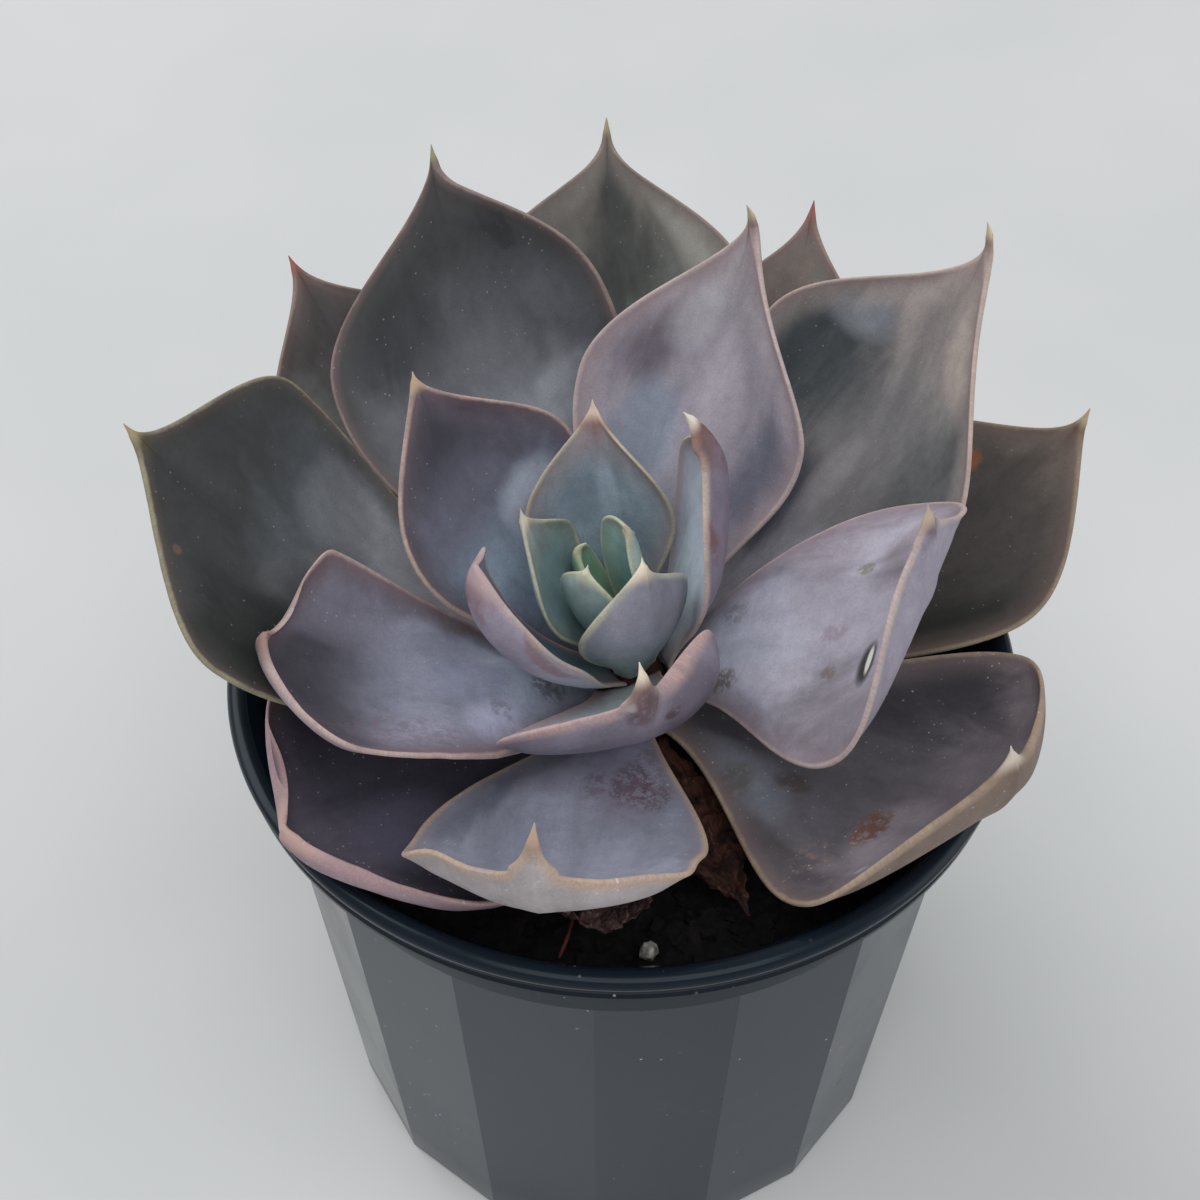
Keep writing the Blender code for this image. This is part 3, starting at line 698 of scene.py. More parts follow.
LOOKS = {
    1: Look((96, 136, 112), (120, 160, 132), (150, 178, 146), (140, 172, 142), (200, 208, 176),
        (130, 165, 140), (176, 160, 120), (206, 204, 172), 2.0, 0.3),
    2: Look((118, 150, 134), (134, 160, 148), (150, 170, 158), (146, 166, 152), (196, 202, 176),
        (158, 176, 176), (170, 156, 126), (222, 220, 196), 2.5, 0.35, under_root=(138, 164, 158)),
    3: Look((116, 154, 152), (142, 178, 180), (160, 184, 176), (158, 180, 168), (204, 208, 184),
        (182, 198, 190), (176, 156, 120), (214, 210, 186), 3.0, 0.4, under_root=(158, 188, 178)),
    4: Look((116, 154, 154), (138, 164, 170), (142, 154, 156), (150, 166, 162), (198, 198, 174),
        (186, 192, 202), (160, 130, 118), (228, 220, 202), 4.0, 0.45),
    5: Look((126, 156, 150), (140, 162, 162), (150, 164, 164), (154, 166, 158), (194, 194, 174),
        (144, 144, 156), (160, 128, 112), (230, 218, 196), 3.5, 0.5, under_root=(134, 154, 148)),
    6: Look((140, 172, 180), (138, 154, 166), (142, 130, 138), (154, 150, 153), (192, 182, 164),
        (150, 150, 160), (150, 106, 100), (222, 206, 186), 7.0, 0.5),
    7: Look((76, 104, 110), (98, 124, 134), (126, 134, 144), (136, 134, 146), (200, 182, 174),
        (168, 160, 178), (134, 98, 98), (182, 160, 162), 9.0, 0.55, warmth=0.5,
        under_root=(184, 188, 198)),
    8: Look((184, 198, 208), (188, 198, 212), (166, 160, 174), (176, 174, 186), (200, 182, 172),
        (130, 121, 138), (122, 80, 66), (236, 226, 212), 11.0, 0.55, under_root=(150, 147, 160)),
    9: Look((144, 160, 177), (100, 101, 116), (67, 66, 76), (94, 86, 96), (186, 164, 156), (150, 140, 152),
        (104, 80, 78), (204, 180, 154), 4.0, 0.45, turns=(0.36, 0.6, 0.62, 0.82)),
    10: Look((204, 220, 222), (200, 214, 218), (182, 174, 182), (176, 166, 174), (192, 164, 162),
        (138, 132, 146), (112, 82, 76), (232, 218, 196), 6.5, 0.6, warmth=0.6, under_root=(154, 150, 162)),
    11: Look((138, 148, 164), (150, 145, 156), (158, 152, 155), (158, 147, 153), (200, 182, 180),
        (150, 140, 150), (120, 94, 94), (206, 190, 162), 6.0, 0.55),
    12: Look((176, 184, 202), (138, 140, 157), (67, 65, 74), (106, 94, 102), (198, 174, 168),
        (158, 146, 156), (88, 66, 66), (160, 132, 124), 5.0, 0.6, turns=(0.2, 0.42, 0.55, 0.82),
        warmth=0.5, dust=0.4),
    13: Look((194, 198, 216), (176, 172, 186), (160, 149, 158), (140, 129, 139), (196, 178, 174),
        (148, 142, 156), (84, 68, 70), (192, 172, 154), 6.0, 0.5, turns=(0.15, 0.42, 0.6, 0.9), dust=0.35),
    14: Look((138, 142, 150), (79, 81, 87), (50, 51, 53), (64, 63, 63), (146, 128, 124), (126, 112, 116),
        (84, 80, 66), (142, 142, 108), 5.0, 0.4, turns=(0.42, 0.58, 0.62, 0.78)),
    15: Look((166, 166, 186), (144, 147, 163), (140, 144, 158), (132, 138, 154), (190, 166, 148),
        (170, 163, 165), (150, 120, 102), (186, 162, 140), 5.0, 0.75, warmth=0.4, dust=0.4, frost=0.6),
    16: Look((148, 147, 155), (117, 116, 118), (156, 148, 145), (146, 137, 134), (194, 174, 166),
        (160, 148, 152), (150, 124, 108), (218, 208, 172), 6.0, 0.45, turns=(0.25, 0.45, 0.6, 0.85)),
    17: Look((166, 168, 175), (84, 88, 92), (61, 64, 66), (68, 69, 65), (152, 146, 124), (122, 112, 100),
        (90, 80, 56), (172, 156, 120), 6.0, 0.45, turns=(0.4, 0.58, 0.62, 0.74), warmth=0.3),
    18: Look((68, 66, 72), (100, 97, 104), (142, 134, 140), (112, 104, 106), (170, 150, 130),
        (124, 108, 99), (104, 76, 64), (208, 198, 184), 4.0, 0.6, turns=(0.1, 0.45, 0.5, 0.75), dust=0.8,
        frost=0.5, frost_mm=22.0),
    19: Look((100, 110, 109), (92, 95, 92), (88, 82, 78), (112, 108, 103), (152, 138, 128),
        (126, 120, 112), (92, 82, 68), (160, 148, 118), 6.0, 0.4, warmth=0.25),
    20: Look((70, 70, 83), (60, 58, 69), (88, 84, 96), (84, 76, 86), (173, 143, 145), (152, 134, 142),
        (152, 116, 112), (190, 160, 154), 6.0, 0.8, turns=(0.2, 0.5, 0.65, 0.9), dust=0.5, frost=0.4,
        frost_mm=18.0),
    21: Look((58, 58, 56), (72, 69, 67), (104, 94, 88), (102, 93, 87), (148, 134, 116), (110, 96, 86),
        (112, 92, 78), (186, 174, 142), 6.0, 0.5, turns=(0.3, 0.55, 0.8, 0.93)),
    22: Look((124, 125, 124), (66, 63, 64), (75, 66, 60), (90, 83, 80), (144, 126, 118), (110, 100, 98),
        (104, 74, 68), (150, 98, 86), 6.0, 0.4, turns=(0.6, 0.82, 0.88, 0.96)),
    24: Look((92, 84, 80), (86, 78, 75), (108, 98, 93), (102, 94, 90), (150, 130, 122), (126, 118, 114),
        (128, 92, 90), (152, 98, 92), 6.0, 0.4),
}


@dataclass
class Wash:
    """A broad soft patch of colour on the upper face. Places and reaches are shares of the blade."""
    along: float
    across: float
    reach: tuple
    colour: tuple
    strength: float = 0.8


WASHES = {
    4: (Wash(0.8, -0.1, (0.14, 0.6), (132, 138, 142), 0.7),),
    6: (Wash(0.6, 0.3, (0.14, 0.35), (124, 138, 152)),
        Wash(0.6, -0.1, (0.16, 0.14), (158, 174, 188), 0.7)),
    9: (Wash(0.45, -0.42, (0.12, 0.35), (180, 187, 202), 0.95),
        Wash(0.7, -0.55, (0.12, 0.3), (82, 80, 91), 0.7)),
    11: (Wash(0.62, 0.62, (0.12, 0.3), (104, 98, 109), 0.95),
         Wash(0.42, 0.35, (0.12, 0.3), (142, 151, 168), 0.85),
         Wash(0.42, -0.75, (0.15, 0.3), (106, 109, 124), 0.85),
         Wash(0.56, -0.15, (0.16, 0.22), (172, 166, 176)),
         Wash(0.72, 0.35, (0.1, 0.3), (176, 172, 180))),
    12: (Wash(0.72, -0.65, (0.2, 0.35), (124, 122, 136), 0.85),
         Wash(0.4, 0.0, (0.12, 0.28), (134, 140, 160)),
         Wash(0.56, 0.7, (0.14, 0.3), (144, 144, 162), 0.7),
         Wash(0.36, 0.62, (0.1, 0.3), (190, 192, 216), 0.85)),
    13: (Wash(0.57, -0.62, (0.17, 0.38), (132, 127, 136), 0.85),
         Wash(0.46, 0.75, (0.14, 0.3), (145, 137, 149), 0.7),
         Wash(0.33, -0.05, (0.12, 0.25), (198, 200, 216), 0.7),
         Wash(0.67, 0.45, (0.1, 0.24), (112, 105, 114), 0.85),
         Wash(0.8, 0.7, (0.16, 0.4), (166, 154, 162), 0.7)),
    14: (Wash(0.48, 0.62, (0.12, 0.35), (88, 88, 94), 0.9),
         Wash(0.68, 0.6, (0.13, 0.4), (43, 47, 50), 0.9),
         Wash(0.54, -0.1, (0.09, 0.3), (100, 102, 110), 0.6),
         Wash(0.78, -0.67, (0.06, 0.16), (40, 42, 45))),
    15: (Wash(0.42, -0.85, (0.14, 0.22), (104, 110, 126)),
         Wash(0.5, -0.35, (0.12, 0.25), (122, 126, 142), 0.7),
         Wash(0.3, 0.3, (0.1, 0.4), (144, 138, 154), 0.7)),
    16: (Wash(0.34, 0.35, (0.12, 0.35), (60, 67, 80), 0.95),
         Wash(0.3, -0.38, (0.09, 0.25), (170, 168, 180)),
         Wash(0.58, 0.62, (0.14, 0.42), (61, 68, 72), 0.95),
         Wash(0.57, -0.62, (0.12, 0.3), (84, 88, 88), 0.85),
         Wash(0.78, -0.5, (0.09, 0.3), (184, 172, 164)),
         Wash(0.7, 0.6, (0.05, 0.25), (134, 140, 148)),
         Wash(0.44, 0.0, (0.1, 0.12), (150, 147, 152), 0.7)),
    17: (Wash(0.55, -0.48, (0.08, 0.35), (132, 136, 143), 0.7),
         Wash(0.62, 0.25, (0.05, 0.2), (100, 102, 105), 0.5),
         Wash(0.66, 0.72, (0.14, 0.34), (44, 46, 45), 0.9)),
    18: (Wash(0.26, -0.6, (0.14, 0.34), (126, 130, 141), 0.9),
         Wash(0.48, -0.9, (0.22, 0.2), (77, 74, 79)),
         Wash(0.48, 0.8, (0.22, 0.4), (58, 56, 62), 0.85),
         Wash(0.66, -0.32, (0.1, 0.3), (168, 160, 168), 0.9)),
    19: (Wash(0.76, -0.08, (0.2, 0.34), (50, 53, 52), 0.95),
         Wash(0.72, -0.8, (0.14, 0.22), (146, 144, 138), 0.85),
         Wash(0.88, 0.65, (0.1, 0.3), (112, 109, 106), 0.7)),
    20: (Wash(0.64, 0.2, (0.14, 0.3), (92, 90, 108), 0.85),),
    21: (Wash(0.5, -0.8, (0.2, 0.3), (42, 44, 43), 0.9),),
    24: (Wash(0.85, -0.6, (0.3, 0.4), (110, 108, 104), 0.9),),
}


@dataclass
class Mark(Wash):
    """A scar, stain or painted glint on either face, patchy by its grain. Places and reaches are in
    millimetres.
    """
    grain: float = 0.5
    below: bool = False


MARKS = {
    7: (Mark(26.0, 8.6, (10.0, 0.9), (146, 112, 108), 0.6, 0.42, below=True),),
    8: (Mark(32.0, -8.6, (8.0, 1.6), (120, 82, 76), 0.7, 0.44, below=True),),
    10: (Mark(33.4, -0.2, (3.0, 2.4), (110, 84, 84), 0.7, 0.46, below=True),
         Mark(28.4, 7.0, (6.0, 5.0), (98, 92, 104), 0.6, 0.36, below=True),
         # painted glint: a small near-white highlight under the tip, painted into the underside's colour
         Mark(34.0, -2.2, (0.9, 1.2), (196, 190, 188), 0.7, 0.44, below=True),
         Mark(30.0, 3.4, (0.8, 1.1), (88, 70, 78), 0.8, 0.42, below=True)),
    12: (Mark(17.9, 4.6, (1.8, 1.6), (112, 114, 120), 0.5, 0.5),
         Mark(18.5, -8.7, (3.4, 1.6), (104, 104, 96), 0.7, 0.48),
         Mark(9.4, 1.3, (3.0, 1.8), (92, 94, 88), 0.7, 0.48),
         Mark(33.0, 10.0, (9.0, 4.0), (116, 96, 102), 0.4, 0.52)),
    13: (Mark(33.4, 7.5, (1.6, 0.8), (124, 126, 108), 0.8, 0.46),
         Mark(30.0, -0.3, (2.2, 1.2), (140, 124, 134), 0.5, 0.48),
         Mark(30.6, -5.5, (1.4, 1.0), (118, 104, 100), 0.7, 0.45),
         Mark(12.4, -4.5, (3.4, 1.4), (116, 104, 96), 0.75, 0.46),
         Mark(14.0, 4.0, (2.4, 1.6), (118, 126, 128), 0.5, 0.47),
         Mark(38.3, -6.0, (2.0, 2.9), (62, 62, 64), 1.0, 0.33),
         Mark(38.7, -5.7, (0.7, 1.9), (226, 224, 218), 1.0, 0.36)),
    14: (Mark(57.5, -9.9, (3.0, 2.0), (40, 40, 42), 0.6, 0.48),),
    15: (Mark(18.3, 4.9, (4.2, 3.0), (96, 76, 86), 0.65, 0.5),
         Mark(19.7, 8.3, (3.4, 2.6), (98, 76, 84), 0.65, 0.5),
         Mark(19.1, 0.7, (3.0, 1.6), (102, 86, 96), 0.5, 0.52),
         Mark(14.0, 7.0, (5.0, 3.0), (114, 94, 104), 0.5, 0.5)),
    17: (Mark(59.2, 10.3, (0.7, 0.7), (104, 84, 76), 0.9, 0.3),
         Mark(37.0, -2.0, (3.4, 2.4), (92, 88, 80), 0.6, 0.48)),
    18: (Mark(36.3, -7.2, (2.4, 3.6), (124, 84, 70), 0.85, 0.47),
         Mark(15.2, -8.0, (2.6, 3.0), (92, 86, 80), 0.6, 0.45),
         Mark(22.3, -5.0, (2.8, 1.5), (80, 72, 66), 0.7, 0.42),
         Mark(32.9, -14.7, (3.4, 3.4), (140, 116, 104), 0.7, 0.56),
         Mark(54.0, -4.0, (3.0, 2.4), (116, 92, 80), 0.6, 0.48),
         Mark(43.8, -15.6, (1.0, 1.0), (168, 178, 196), 0.8, 0.45)),
    21: (Mark(49.6, 7.3, (2.2, 2.0), (132, 84, 60), 0.9, 0.42),),
}


def leaf_material(leaf):
    look = LOOKS[leaf.age]
    g = Graph(f"leaf_{leaf.age:02d}_look")
    along, across, along_mm, across_mm, margin, under = (g.attribute(name) for name in ATTRIBUTES)
    shift = 7.3 * leaf.age
    flat = g.combine(along_mm, across_mm, shift)
    cloud = g.noise(flat, 0.08, 3.0, 0.55, 0.5)
    bloom = g.noise(g.combine(g.times(along_mm, 0.35), across_mm, shift), 0.16, 4.0, 0.6, 0.5)
    mottle = g.noise(flat, 0.55, 4.0, 0.6)
    grain = g.noise(flat, 3.2, 4.0, 0.75)
    # colours along the upper face, with soft washes, and at its sides
    outward = g.plus(g.plus(along, g.swing(cloud, 0.25)), g.swing(bloom, 0.12))
    start, rise, fall, end = look.turns
    upper = g.mix(g.ramp(outward, start, rise), srgb(*look.root), srgb(*look.body))
    upper = g.tint(g.ramp(outward, fall, end), upper, look.tip)
    for wash in WASHES.get(leaf.age, ()):
        far = g.plus(g.distance(along, across, wash), g.swing(bloom, 2.0))
        upper = g.tint(g.ramp(far, 1.6, 0.0, 0.0, wash.strength), upper, wash.colour)
    uneven = g.plus(margin, g.swing(mottle, 0.6))
    upper = g.tint(g.ramp(uneven, 5.0, 0.6, 0.0, 0.7), upper, look.side)
    lower = g.tint(g.ramp(outward, 0.15, 0.7), srgb(*(look.under_root or look.under)), look.under)
    # soft clouds of bloom and a fine mottle, then the marks
    tone = g.times(g.ramp(bloom, 0.28, 0.72, 0.86, 1.15), g.ramp(mottle, 0.3, 0.7, 0.94, 1.06))
    tone = g.times(tone, g.ramp(grain, 0.3, 0.7, 0.91, 1.09))
    upper, lower = g.shade(upper, tone), g.shade(lower, tone)
    for mark in MARKS.get(leaf.age, ()):
        far = g.distance(along_mm, across_mm, mark)
        patchy = g.minus(g.noise(flat, 0.9, 6.0, 0.75), g.times(far, 0.06))
        patchy = g.ramp(patchy, mark.grain - 0.1, mark.grain + 0.04)
        share = g.times(g.times(g.ramp(far, 1.5, 0.3), patchy), mark.strength)
        if mark.below:
            lower = g.tint(share, lower, mark.colour)
        else:
            upper = g.tint(share, upper, mark.colour)
    # a soft warm zone inside the upper margin, and the pale grainy rim
    width = look.rim_mm
    side, pale = srgb(*look.side), srgb(*look.rim)
    warm = tuple(0.5 * a + 0.5 * b for a, b in zip(side, srgb(150, 120, 120)))
    upper = g.mix(g.ramp(uneven, 4.2 * width, 0.9 * width, 0.0, look.warmth), upper, warm)
    slow = g.ramp(g.noise(flat, 0.22, 3.0), 0.32, 0.62, 0.6, 1.0)
    rim = g.mix(g.ramp(grain, 0.35, 0.65), tuple(0.8 * c for c in pale), pale)
    upper = g.mix(g.times(g.ramp(uneven, 1.4 * width, 0.3 * width), slow), upper, rim)
    lower = g.mix(g.times(g.ramp(uneven, 2.0 * width, 0.4 * width), slow), lower, rim)
    colour = g.mix(under, upper, lower)
    # a stain round the foot of the end spine, then the pale spine
    ending = g.times(g.minus(1.0, along), leaf.length)
    near = g.math("SQRT", g.plus(g.square(ending), g.square(g.times(across_mm, 1.5))))
    near = g.plus(near, g.swing(mottle, 0.8 * look.stain_mm))
    colour = g.tint(g.ramp(near, look.stain_mm, 0.3 * look.stain_mm, 0.0, 0.75), colour, look.stain)
    colour = g.tint(g.ramp(ending, 3.4, 1.4, 0.0, 0.92), colour, look.spine)
    sparse = g.ramp(g.noise(flat, 0.16, 2.0), 0.46, 0.6)
    colour = g.specks(colour, g.cells(flat, 0.8), sparse, look.dust, (196, 192, 190))
    if look.frost:
        ice = g.times(g.ramp(g.cells(flat, 1.05), 0.19, 0.1), g.ramp(margin, look.frost_mm, 1.0))
        ice = g.times(ice, g.ramp(mottle, 0.46, 0.64))
        colour = g.tint(g.times(ice, look.frost), colour, (206, 216, 228))
    return g.finish(
        Base_Color=colour,
        Roughness=g.ramp(grain, 0.3, 0.7, 0.54, 0.7),
        Specular_IOR_Level=0.24,
        Normal=g.bump(mottle, 0.3, 0.0003, Normal=g.bump(grain, 0.2, 0.0001)),
        Subsurface_Weight=0.2 if leaf.age < FINE_AGE else 0.0,
        Subsurface_Radius=(0.0016, 0.0012, 0.001),
        Subsurface_Scale=1.0,
    )


def pot_material():
    """Satin black plastic: smooth facets that mirror the floor at a slant, and a darker, duller rim."""
    g = Graph("pot_look")
    place = g.place()
    height = g.node("ShaderNodeSeparateXYZ", "Z", {0: place})
    rim = g.ramp(height, (FACET_TOP - 0.4) * MM, (FACET_TOP + 0.6) * MM)
    haze = g.noise(place, 38.0, 4.0, 0.62)
    colour = g.mix(g.ramp(haze, 0.3, 0.75), srgb(17, 25, 36), srgb(28, 37, 49))
    colour = g.tint(rim, colour, (18, 27, 36))
    scuff = g.times(g.ramp(g.noise(place, 110.0, 6.0, 0.75), 0.56, 0.74), g.ramp(haze, 0.45, 0.7))
    colour = g.tint(g.times(scuff, 0.16), colour, (128, 130, 130))
    sparse = g.ramp(g.noise(place, 55.0, 3.0, 0.7), 0.53, 0.66)
    return g.finish(
        Base_Color=g.specks(colour, g.cells(place, 520.0), sparse, 0.85, (176, 178, 176)),
        Roughness=g.plus(g.ramp(haze, 0.3, 0.7, 0.15, 0.25), g.times(scuff, 0.15)),
        Specular_IOR_Level=g.mix(rim, (0.56, 0.56, 0.56), (0.22, 0.22, 0.22)),
        Specular_Tint=(0.8, 0.92, 1.0),
        Normal=g.bump(g.noise(place, 900.0, 3.0, 0.6), 0.08, 0.0001),
    )


def soil_material():
    g = Graph("soil_look")
    place = g.place()
    grain = g.noise(place, 700.0, 5.0, 0.7)
    patch = g.noise(place, 160.0, 4.0, 0.6)
    colour = g.mix(g.ramp(grain, 0.35, 0.7), srgb(8, 8, 11), srgb(25, 23, 25))
    colour = g.tint(g.ramp(patch, 0.6, 0.75, 0.0, 0.5), colour, (70, 46, 38))
    return g.finish(Base_Color=colour, Roughness=0.92, Specular_IOR_Level=0.25,
                    Normal=g.bump(grain, 0.6, 0.0004))


def dry_material(name, dark, light, pale):
    """Dead leaf tissue: blotches, and fibres that run along the leaf."""
    g = Graph(name)
    patch = g.noise(g.place(), 170.0, 5.0, 0.65, 0.5)
    length = g.times(g.attribute("along_mm"), 0.16)
    fibres = g.noise(g.combine(length, g.attribute("across_mm"), 3.0), 1.5, 5.0, 0.65, 0.4)
    colour = g.mix(g.ramp(patch, 0.35, 0.7), srgb(*dark), srgb(*light))
    colour = g.mix(g.ramp(fibres, 0.5, 0.38, 0.0, 0.75), colour, tuple(0.35 * c for c in srgb(*dark)))
    colour = g.tint(g.ramp(fibres, 0.55, 0.7, 0.0, 0.75), colour, pale)
    return g.finish(Base_Color=colour, Roughness=0.8, Specular_IOR_Level=0.3,
                    Normal=g.bump(patch, 0.6, 0.0006, Normal=g.bump(fibres, 0.8, 0.0006)))


DRY_LOOKS = {
    23: ((58, 42, 45), (112, 84, 82), (176, 148, 140)),
    31: ((40, 25, 22), (88, 52, 40), (112, 76, 60)),
}


def plain_material(name, colour, other, scale, roughness):
    g = Graph(name)
    mixed = g.mix(g.ramp(g.noise(g.place(), scale, 4.0), 0.3, 0.7), srgb(*colour), srgb(*other))
    return g.finish(Base_Color=mixed, Roughness=roughness, Specular_IOR_Level=0.3)


# Pieces


def slot_of(age):
    return "leaf_young" if age < 7 else "leaf_middle" if age < 14 else "leaf_old"


def pressed_leaves():
    """How far every leaf's blade is pressed down, worked out from the youngest outward."""
    above = [tree_of(*bud_body(16, 8))]
    pressed = {}
    for leaf in HEART:
        surface, normal = blade(leaf, *stations(leaf))
        above.append(tree_of(*leaf_body(leaf, surface, normal, SEAT)))
        pressed[leaf.age] = np.zeros(surface.shape[:2])
    for leaf in LEAVES + DRY_LEAVES:
        pressed[leaf.age] = settle(leaf, above)
    return pressed


def build_leaves():
    pressed = pressed_leaves()
    faces = shell_faces(FINE_ALONG, FINE_ACROSS)

    def add_leaf(name, leaf, node, slot_name):
        points, values = fine_leaf(leaf, pressed[leaf.age])
        add_piece(name, points, faces, leaf_material(leaf), node, slot_name, values)

    for leaf in HEART:
        add_leaf(f"heart_leaf_{leaf.age}", leaf, "heart_leaves", "leaf_heart")
    bud_look = plain_material("bud_look", (96, 128, 108), (112, 142, 120), 300.0, 0.6)
    add_piece("bud", *bud_body(40, 20), bud_look, "heart_leaves", "leaf_heart")
    for leaf in LEAVES:
        add_leaf(f"fine_leaf_{leaf.age:02d}", leaf, f"leaf_{leaf.age:02d}", slot_of(leaf.age))
    noise.seed_set(CRUMPLE_SEED)
    for leaf in DRY_LEAVES:
        points, values = fine_leaf(leaf, pressed[leaf.age])
        swings = [noise.turbulence_vector(Vector(p) / CRUMPLE_SIZE, 4, False, amplitude_scale=0.6)
                  for p in points]
        points = off_stem(points + np.array(swings) * CRUMPLE_DEPTH)
        looks = dry_material(f"dry_leaf_{leaf.age}_look", *DRY_LOOKS[leaf.age])
        add_piece(f"fine_dry_leaf_{leaf.age:02d}", points, faces, looks, f"dry_leaf_{leaf.age:02d}",
                  "dry_leaf", values)


def pot_rings():
    """Heights and radius functions up the pot's outside, over its rim and down the inside."""
    rings = []

    def add(kind, height, radius):
        rings.append((height, kind(radius)))

    for height, inset in ((0.0, 0.9), (0.12, 0.45), (0.45, 0.12)):
        add(facet_radius, height, FOOT_RADIUS - inset)
    for k in range(13):
        share = k / 12
        add(facet_radius, FOOT_ROUNDING + (FACET_TOP - FOOT_ROUNDING) * share,
            FOOT_RADIUS + (FACET_TOP_RADIUS - FOOT_RADIUS) * share)
    add(round_radius, FACET_TOP + 0.15, COLLAR_RADIUS - 0.1)
    for k in range(7):
        share = k / 6
        add(round_radius, FACET_TOP + 0.35 + (COLLAR_TOP - FACET_TOP - 0.6) * share,
            COLLAR_RADIUS + 0.7 * share)
    add(round_radius, COLLAR_TOP, COLLAR_RADIUS + 1.2)
    for rise, inset in ((0.15, 1.5), (0.4, 0.95), (0.8, 0.65), (1.4, 0.6), (1.9, 0.85), (2.2, 0.85)):
        add(round_radius, COLLAR_TOP + rise, RIM_RADIUS - inset)
    high = RIM_BEAD / 2 + 0.1
    for k in range(15):
        swing = math.radians(-70 + 230 * k / 14)
        add(round_radius, POT_HEIGHT - high + high * math.sin(swing),
            RIM_RADIUS - 1.4 + 1.4 * math.cos(swing))
    for height, inset in ((POT_HEIGHT - 1.3, 3.2), (POT_HEIGHT - 2.4, 4.0), (COLLAR_TOP, 5.0)):
        add(round_radius, height, RIM_RADIUS - inset)
    for height in (FACET_TOP, SOIL_TOP - 4.0, FLOOR_THICKNESS):
        add(round_radius, height, wall_radius(height))
    add(round_radius, FLOOR_THICKNESS, 1.0)
    return rings


def build_pot():
    made = add_piece("fine_pot", *turned(pot_rings(), FACETS * 14, FACET_CORNER), pot_material(),
                     "pot", "pot")
    made.data.set_sharp_from_angle(angle=math.radians(16.0))


def soil_surface(edge, hole):
    """Points and faces of the lumpy surface, from the wall in to the stem."""
    sides, steps = 200, 70
    points = []
    for share in np.linspace(0.0, 1.0, steps):
        radius = edge + (hole - edge) * share
        for k in range(sides):
            b = 2 * math.pi * k / sides
            x = STEM_X * share + radius * math.cos(b)
            y = radius * math.sin(b)
            p = Vector((x, y, 3.0))
            rough = 1.1 * noise.fractal(p / 5.0, 0.7, 2.1, 5) + 0.5 * noise.noise(p / 1.1)
            points.append((x, y, soil_height(x, y) - 0.3 + 0.7 * rough))
    return points, [f[::-1] for f in ring_faces(steps, sides)]


def build_soil():
    """A lumpy surface with crumbs of bark and grit pressed into it."""
    draw = np.random.default_rng(11)
    edge = wall_radius(FACET_TOP) - SEAT
    hole = stem_radius(SOIL_TOP) + SEAT
    points, faces = soil_surface(edge, hole)
    cube = np.array([(x, y, z) for x in (-1, 1) for y in (-1, 1) for z in (-1, 1)], dtype=float)
    cube_faces = [(0, 1, 3, 2), (4, 6, 7, 5), (0, 4, 5, 1), (2, 3, 7, 6), (0, 2, 6, 4), (1, 5, 7, 3)]
    for k in range(CRUMBS):
        radius = edge * math.sqrt(draw.uniform(0.03, 0.97))
        b = draw.uniform(0.0, 2 * math.pi)
        x, y = radius * math.cos(b), radius * math.sin(b)
        if math.hypot(x - STEM_X, y) < hole + 1.0 or radius > edge - 1.6:
            continue
        size = draw.uniform(0.35, 1.15) * np.array([1.0, draw.uniform(0.5, 1.0), draw.uniform(0.4, 0.8)])
        turn = (Matrix.Rotation(draw.uniform(0, 6.3), 3, "Z")
                @ Matrix.Rotation(draw.uniform(-0.7, 0.7), 3, "X"))
        corner = cube * size + draw.uniform(-0.25, 0.25, (8, 3))
        corner = corner @ np.array(turn).T + np.array([x, y, soil_height(x, y) - 0.1])
        faces += [tuple(len(points) + i for i in face) for face in cube_faces]
        points += [tuple(c) for c in corner]
    made = add_piece("fine_soil", points, faces, soil_material(), "soil", "soil")
    made.data.set_sharp_from_angle(angle=math.radians(40.0))


def build_root_thread():
    """A thin dead root that stands out of the soil at the front and bends down to the wall."""
    path = np.array(((-5.2, -30.5, 1.2), (-5.3, -32.6, 1.6), (-5.3, -34.5, 1.5), (-6.0, -37.4, 0.9),
                     (-7.0, -39.6, 0.0)))
    steps, sides = 25, 8
    at = np.linspace(0.0, 1.0, steps)
    knots = np.linspace(0.0, 1.0, len(path))
    line = np.stack([np.interp(at, knots, path[:, k]) for k in range(3)], -1)
    for k in range(3):
        padded = np.vstack([line[:1], line, line[-1:]])
        line = (padded[:-2] + 2 * line + padded[2:]) / 4
    points = []
    for share, (x, y, lift) in zip(at, line):
        radius = 0.38 - 0.2 * share + 0.05 * math.sin(9.0 * share)
        for k in range(sides):
            b = 2 * math.pi * k / sides
            points.append((x + radius * math.cos(b), y, soil_height(x, y) + lift + radius * math.sin(b)))
    looks = plain_material("root_thread_look", (118, 60, 46), (74, 38, 30), 900.0, 0.7)
    add_piece("fine_root_thread", points, ring_faces(steps, sides), looks, "soil", "soil")


def build_perlite():
    low, high = (Vector(corner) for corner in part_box("perlite_grain"))
    middle, size = (low + high) / 2 / MM, (high - low) / MM / 2
    rows, sides = 13, 20
    points = []
    for i in range(rows):
        swing = math.pi * i / (rows - 1)
        for k in range(sides):
            b = 2 * math.pi * k / sides
            d = Vector((math.sin(swing) * math.cos(b), math.sin(swing) * math.sin(b), -math.cos(swing)))
            lump = 0.86 + 0.3 * noise.noise(d * 1.7 + Vector((5, 1, 2))) + 0.12 * noise.noise(d * 5.0)
            points.append(tuple(middle + size * d * lump))
    looks = plain_material("perlite_look", (202, 200, 190), (84, 80, 74), 620.0, 0.9)
    add_piece("fine_perlite", points, ring_faces(rows, sides), looks, "perlite_grain", "perlite")


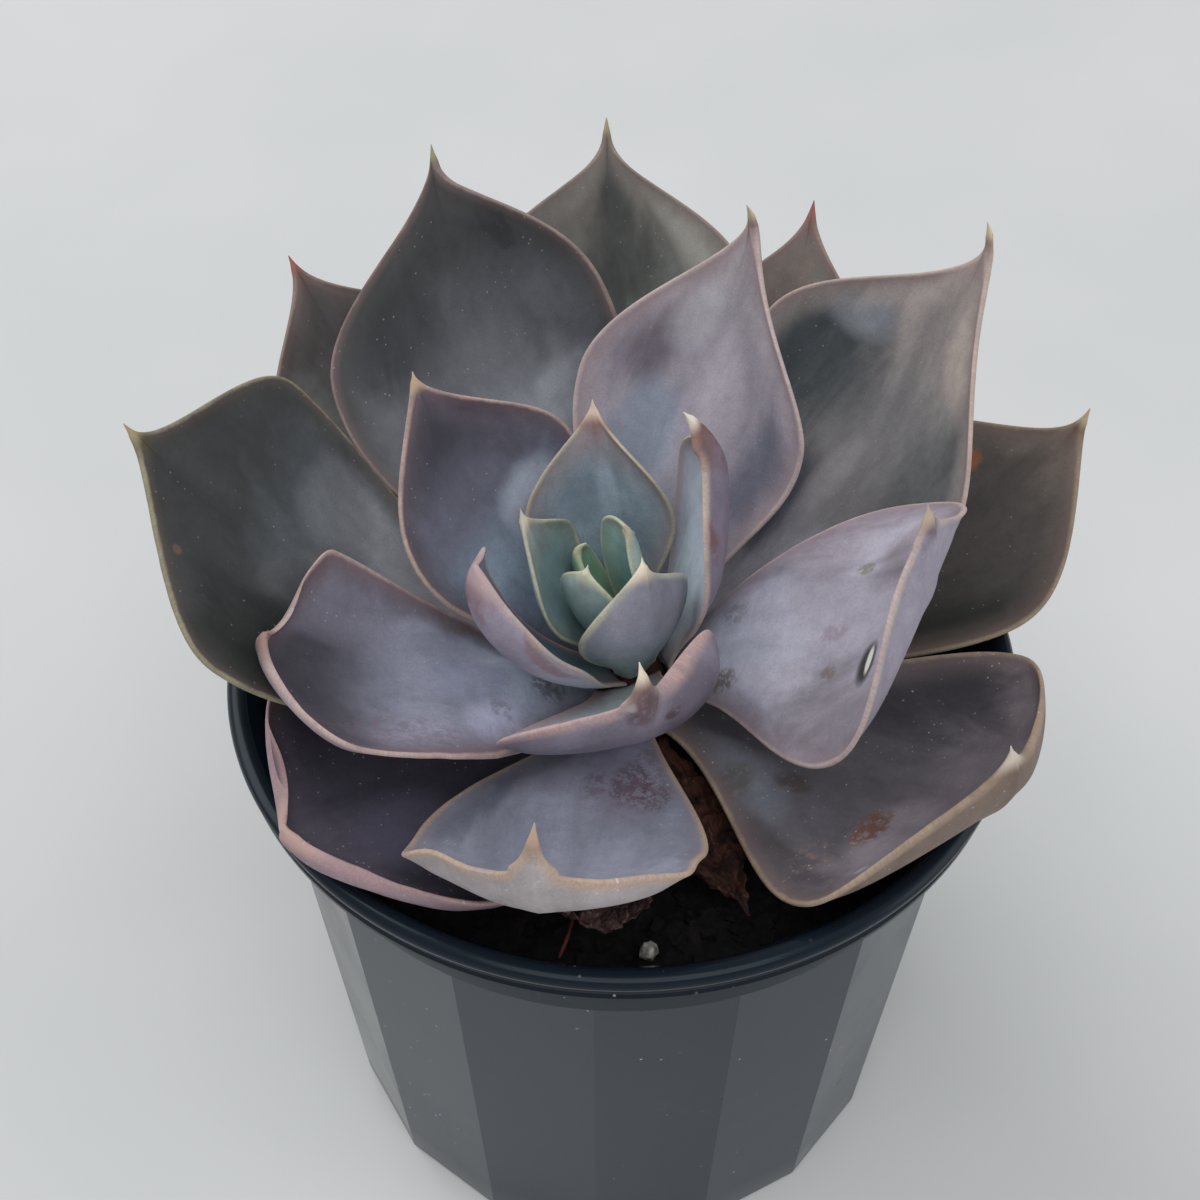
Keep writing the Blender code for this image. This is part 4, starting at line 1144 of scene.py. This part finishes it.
def dress_stem():
    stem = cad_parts["stem"]
    stem.data.materials.clear()
    stem.data.materials.append(plain_material("stem_look", (92, 66, 50), (60, 44, 36), 260.0, 0.85))


# Set: floor, light and camera


def build_set():
    bpy.ops.mesh.primitive_plane_add(size=6.0, location=(0.0, 0.0, 0.0))
    floor = bpy.context.object
    floor.name = "floor"
    g = Graph("floor_look")
    shade = g.ramp(g.noise(g.place(), 9.0, 3.0), 0.3, 0.7)
    colour = g.mix(shade, srgb(206, 209, 210), srgb(212, 214, 215))
    floor.data.materials.append(g.finish(Base_Color=colour, Roughness=0.9, Specular_IOR_Level=0.1))
    scene = bpy.context.scene
    scene.world = bpy.data.worlds.new("studio")
    scene.world.use_nodes = True
    background = scene.world.node_tree.nodes["Background"]
    background.inputs["Color"].default_value = (0.99, 0.99, 1.0, 1.0)
    background.inputs["Strength"].default_value = 0.46
    scene.view_settings.view_transform = "Standard"
    for name, place, energy, size, colour in LIGHTS:
        lamp = bpy.data.lights.new(name, "AREA")
        lamp.energy, lamp.size, lamp.color = energy, size, colour
        made = bpy.data.objects.new(name, lamp)
        aim = (Vector(LIT_PLACE) - Vector(place)).to_track_quat("-Z", "Y")
        made.matrix_world = Matrix.LocRotScale(Vector(place), aim, None)
        scene.collection.objects.link(made)


def build_camera():
    data = bpy.data.cameras.new("camera")
    data.lens = CAMERA_LENS
    data.sensor_width = 36.0
    camera = bpy.data.objects.new("camera", data)
    yaw, pitch, roll = (math.radians(a) for a in (CAMERA_YAW, CAMERA_PITCH, CAMERA_ROLL))
    camera.matrix_world = (Matrix.Translation((0.0, -CAMERA_BACK * MM, CAMERA_HEIGHT * MM))
                           @ Matrix.Rotation(-yaw, 4, "Z")
                           @ Matrix.Rotation(math.pi / 2 - pitch, 4, "X")
                           @ Matrix.Rotation(roll, 4, "Z"))
    bpy.context.scene.collection.objects.link(camera)
    bpy.context.scene.camera = camera


build_camera()
build_set()
build_pot()
build_soil()
build_leaves()
build_root_thread()
build_perlite()
dress_stem()
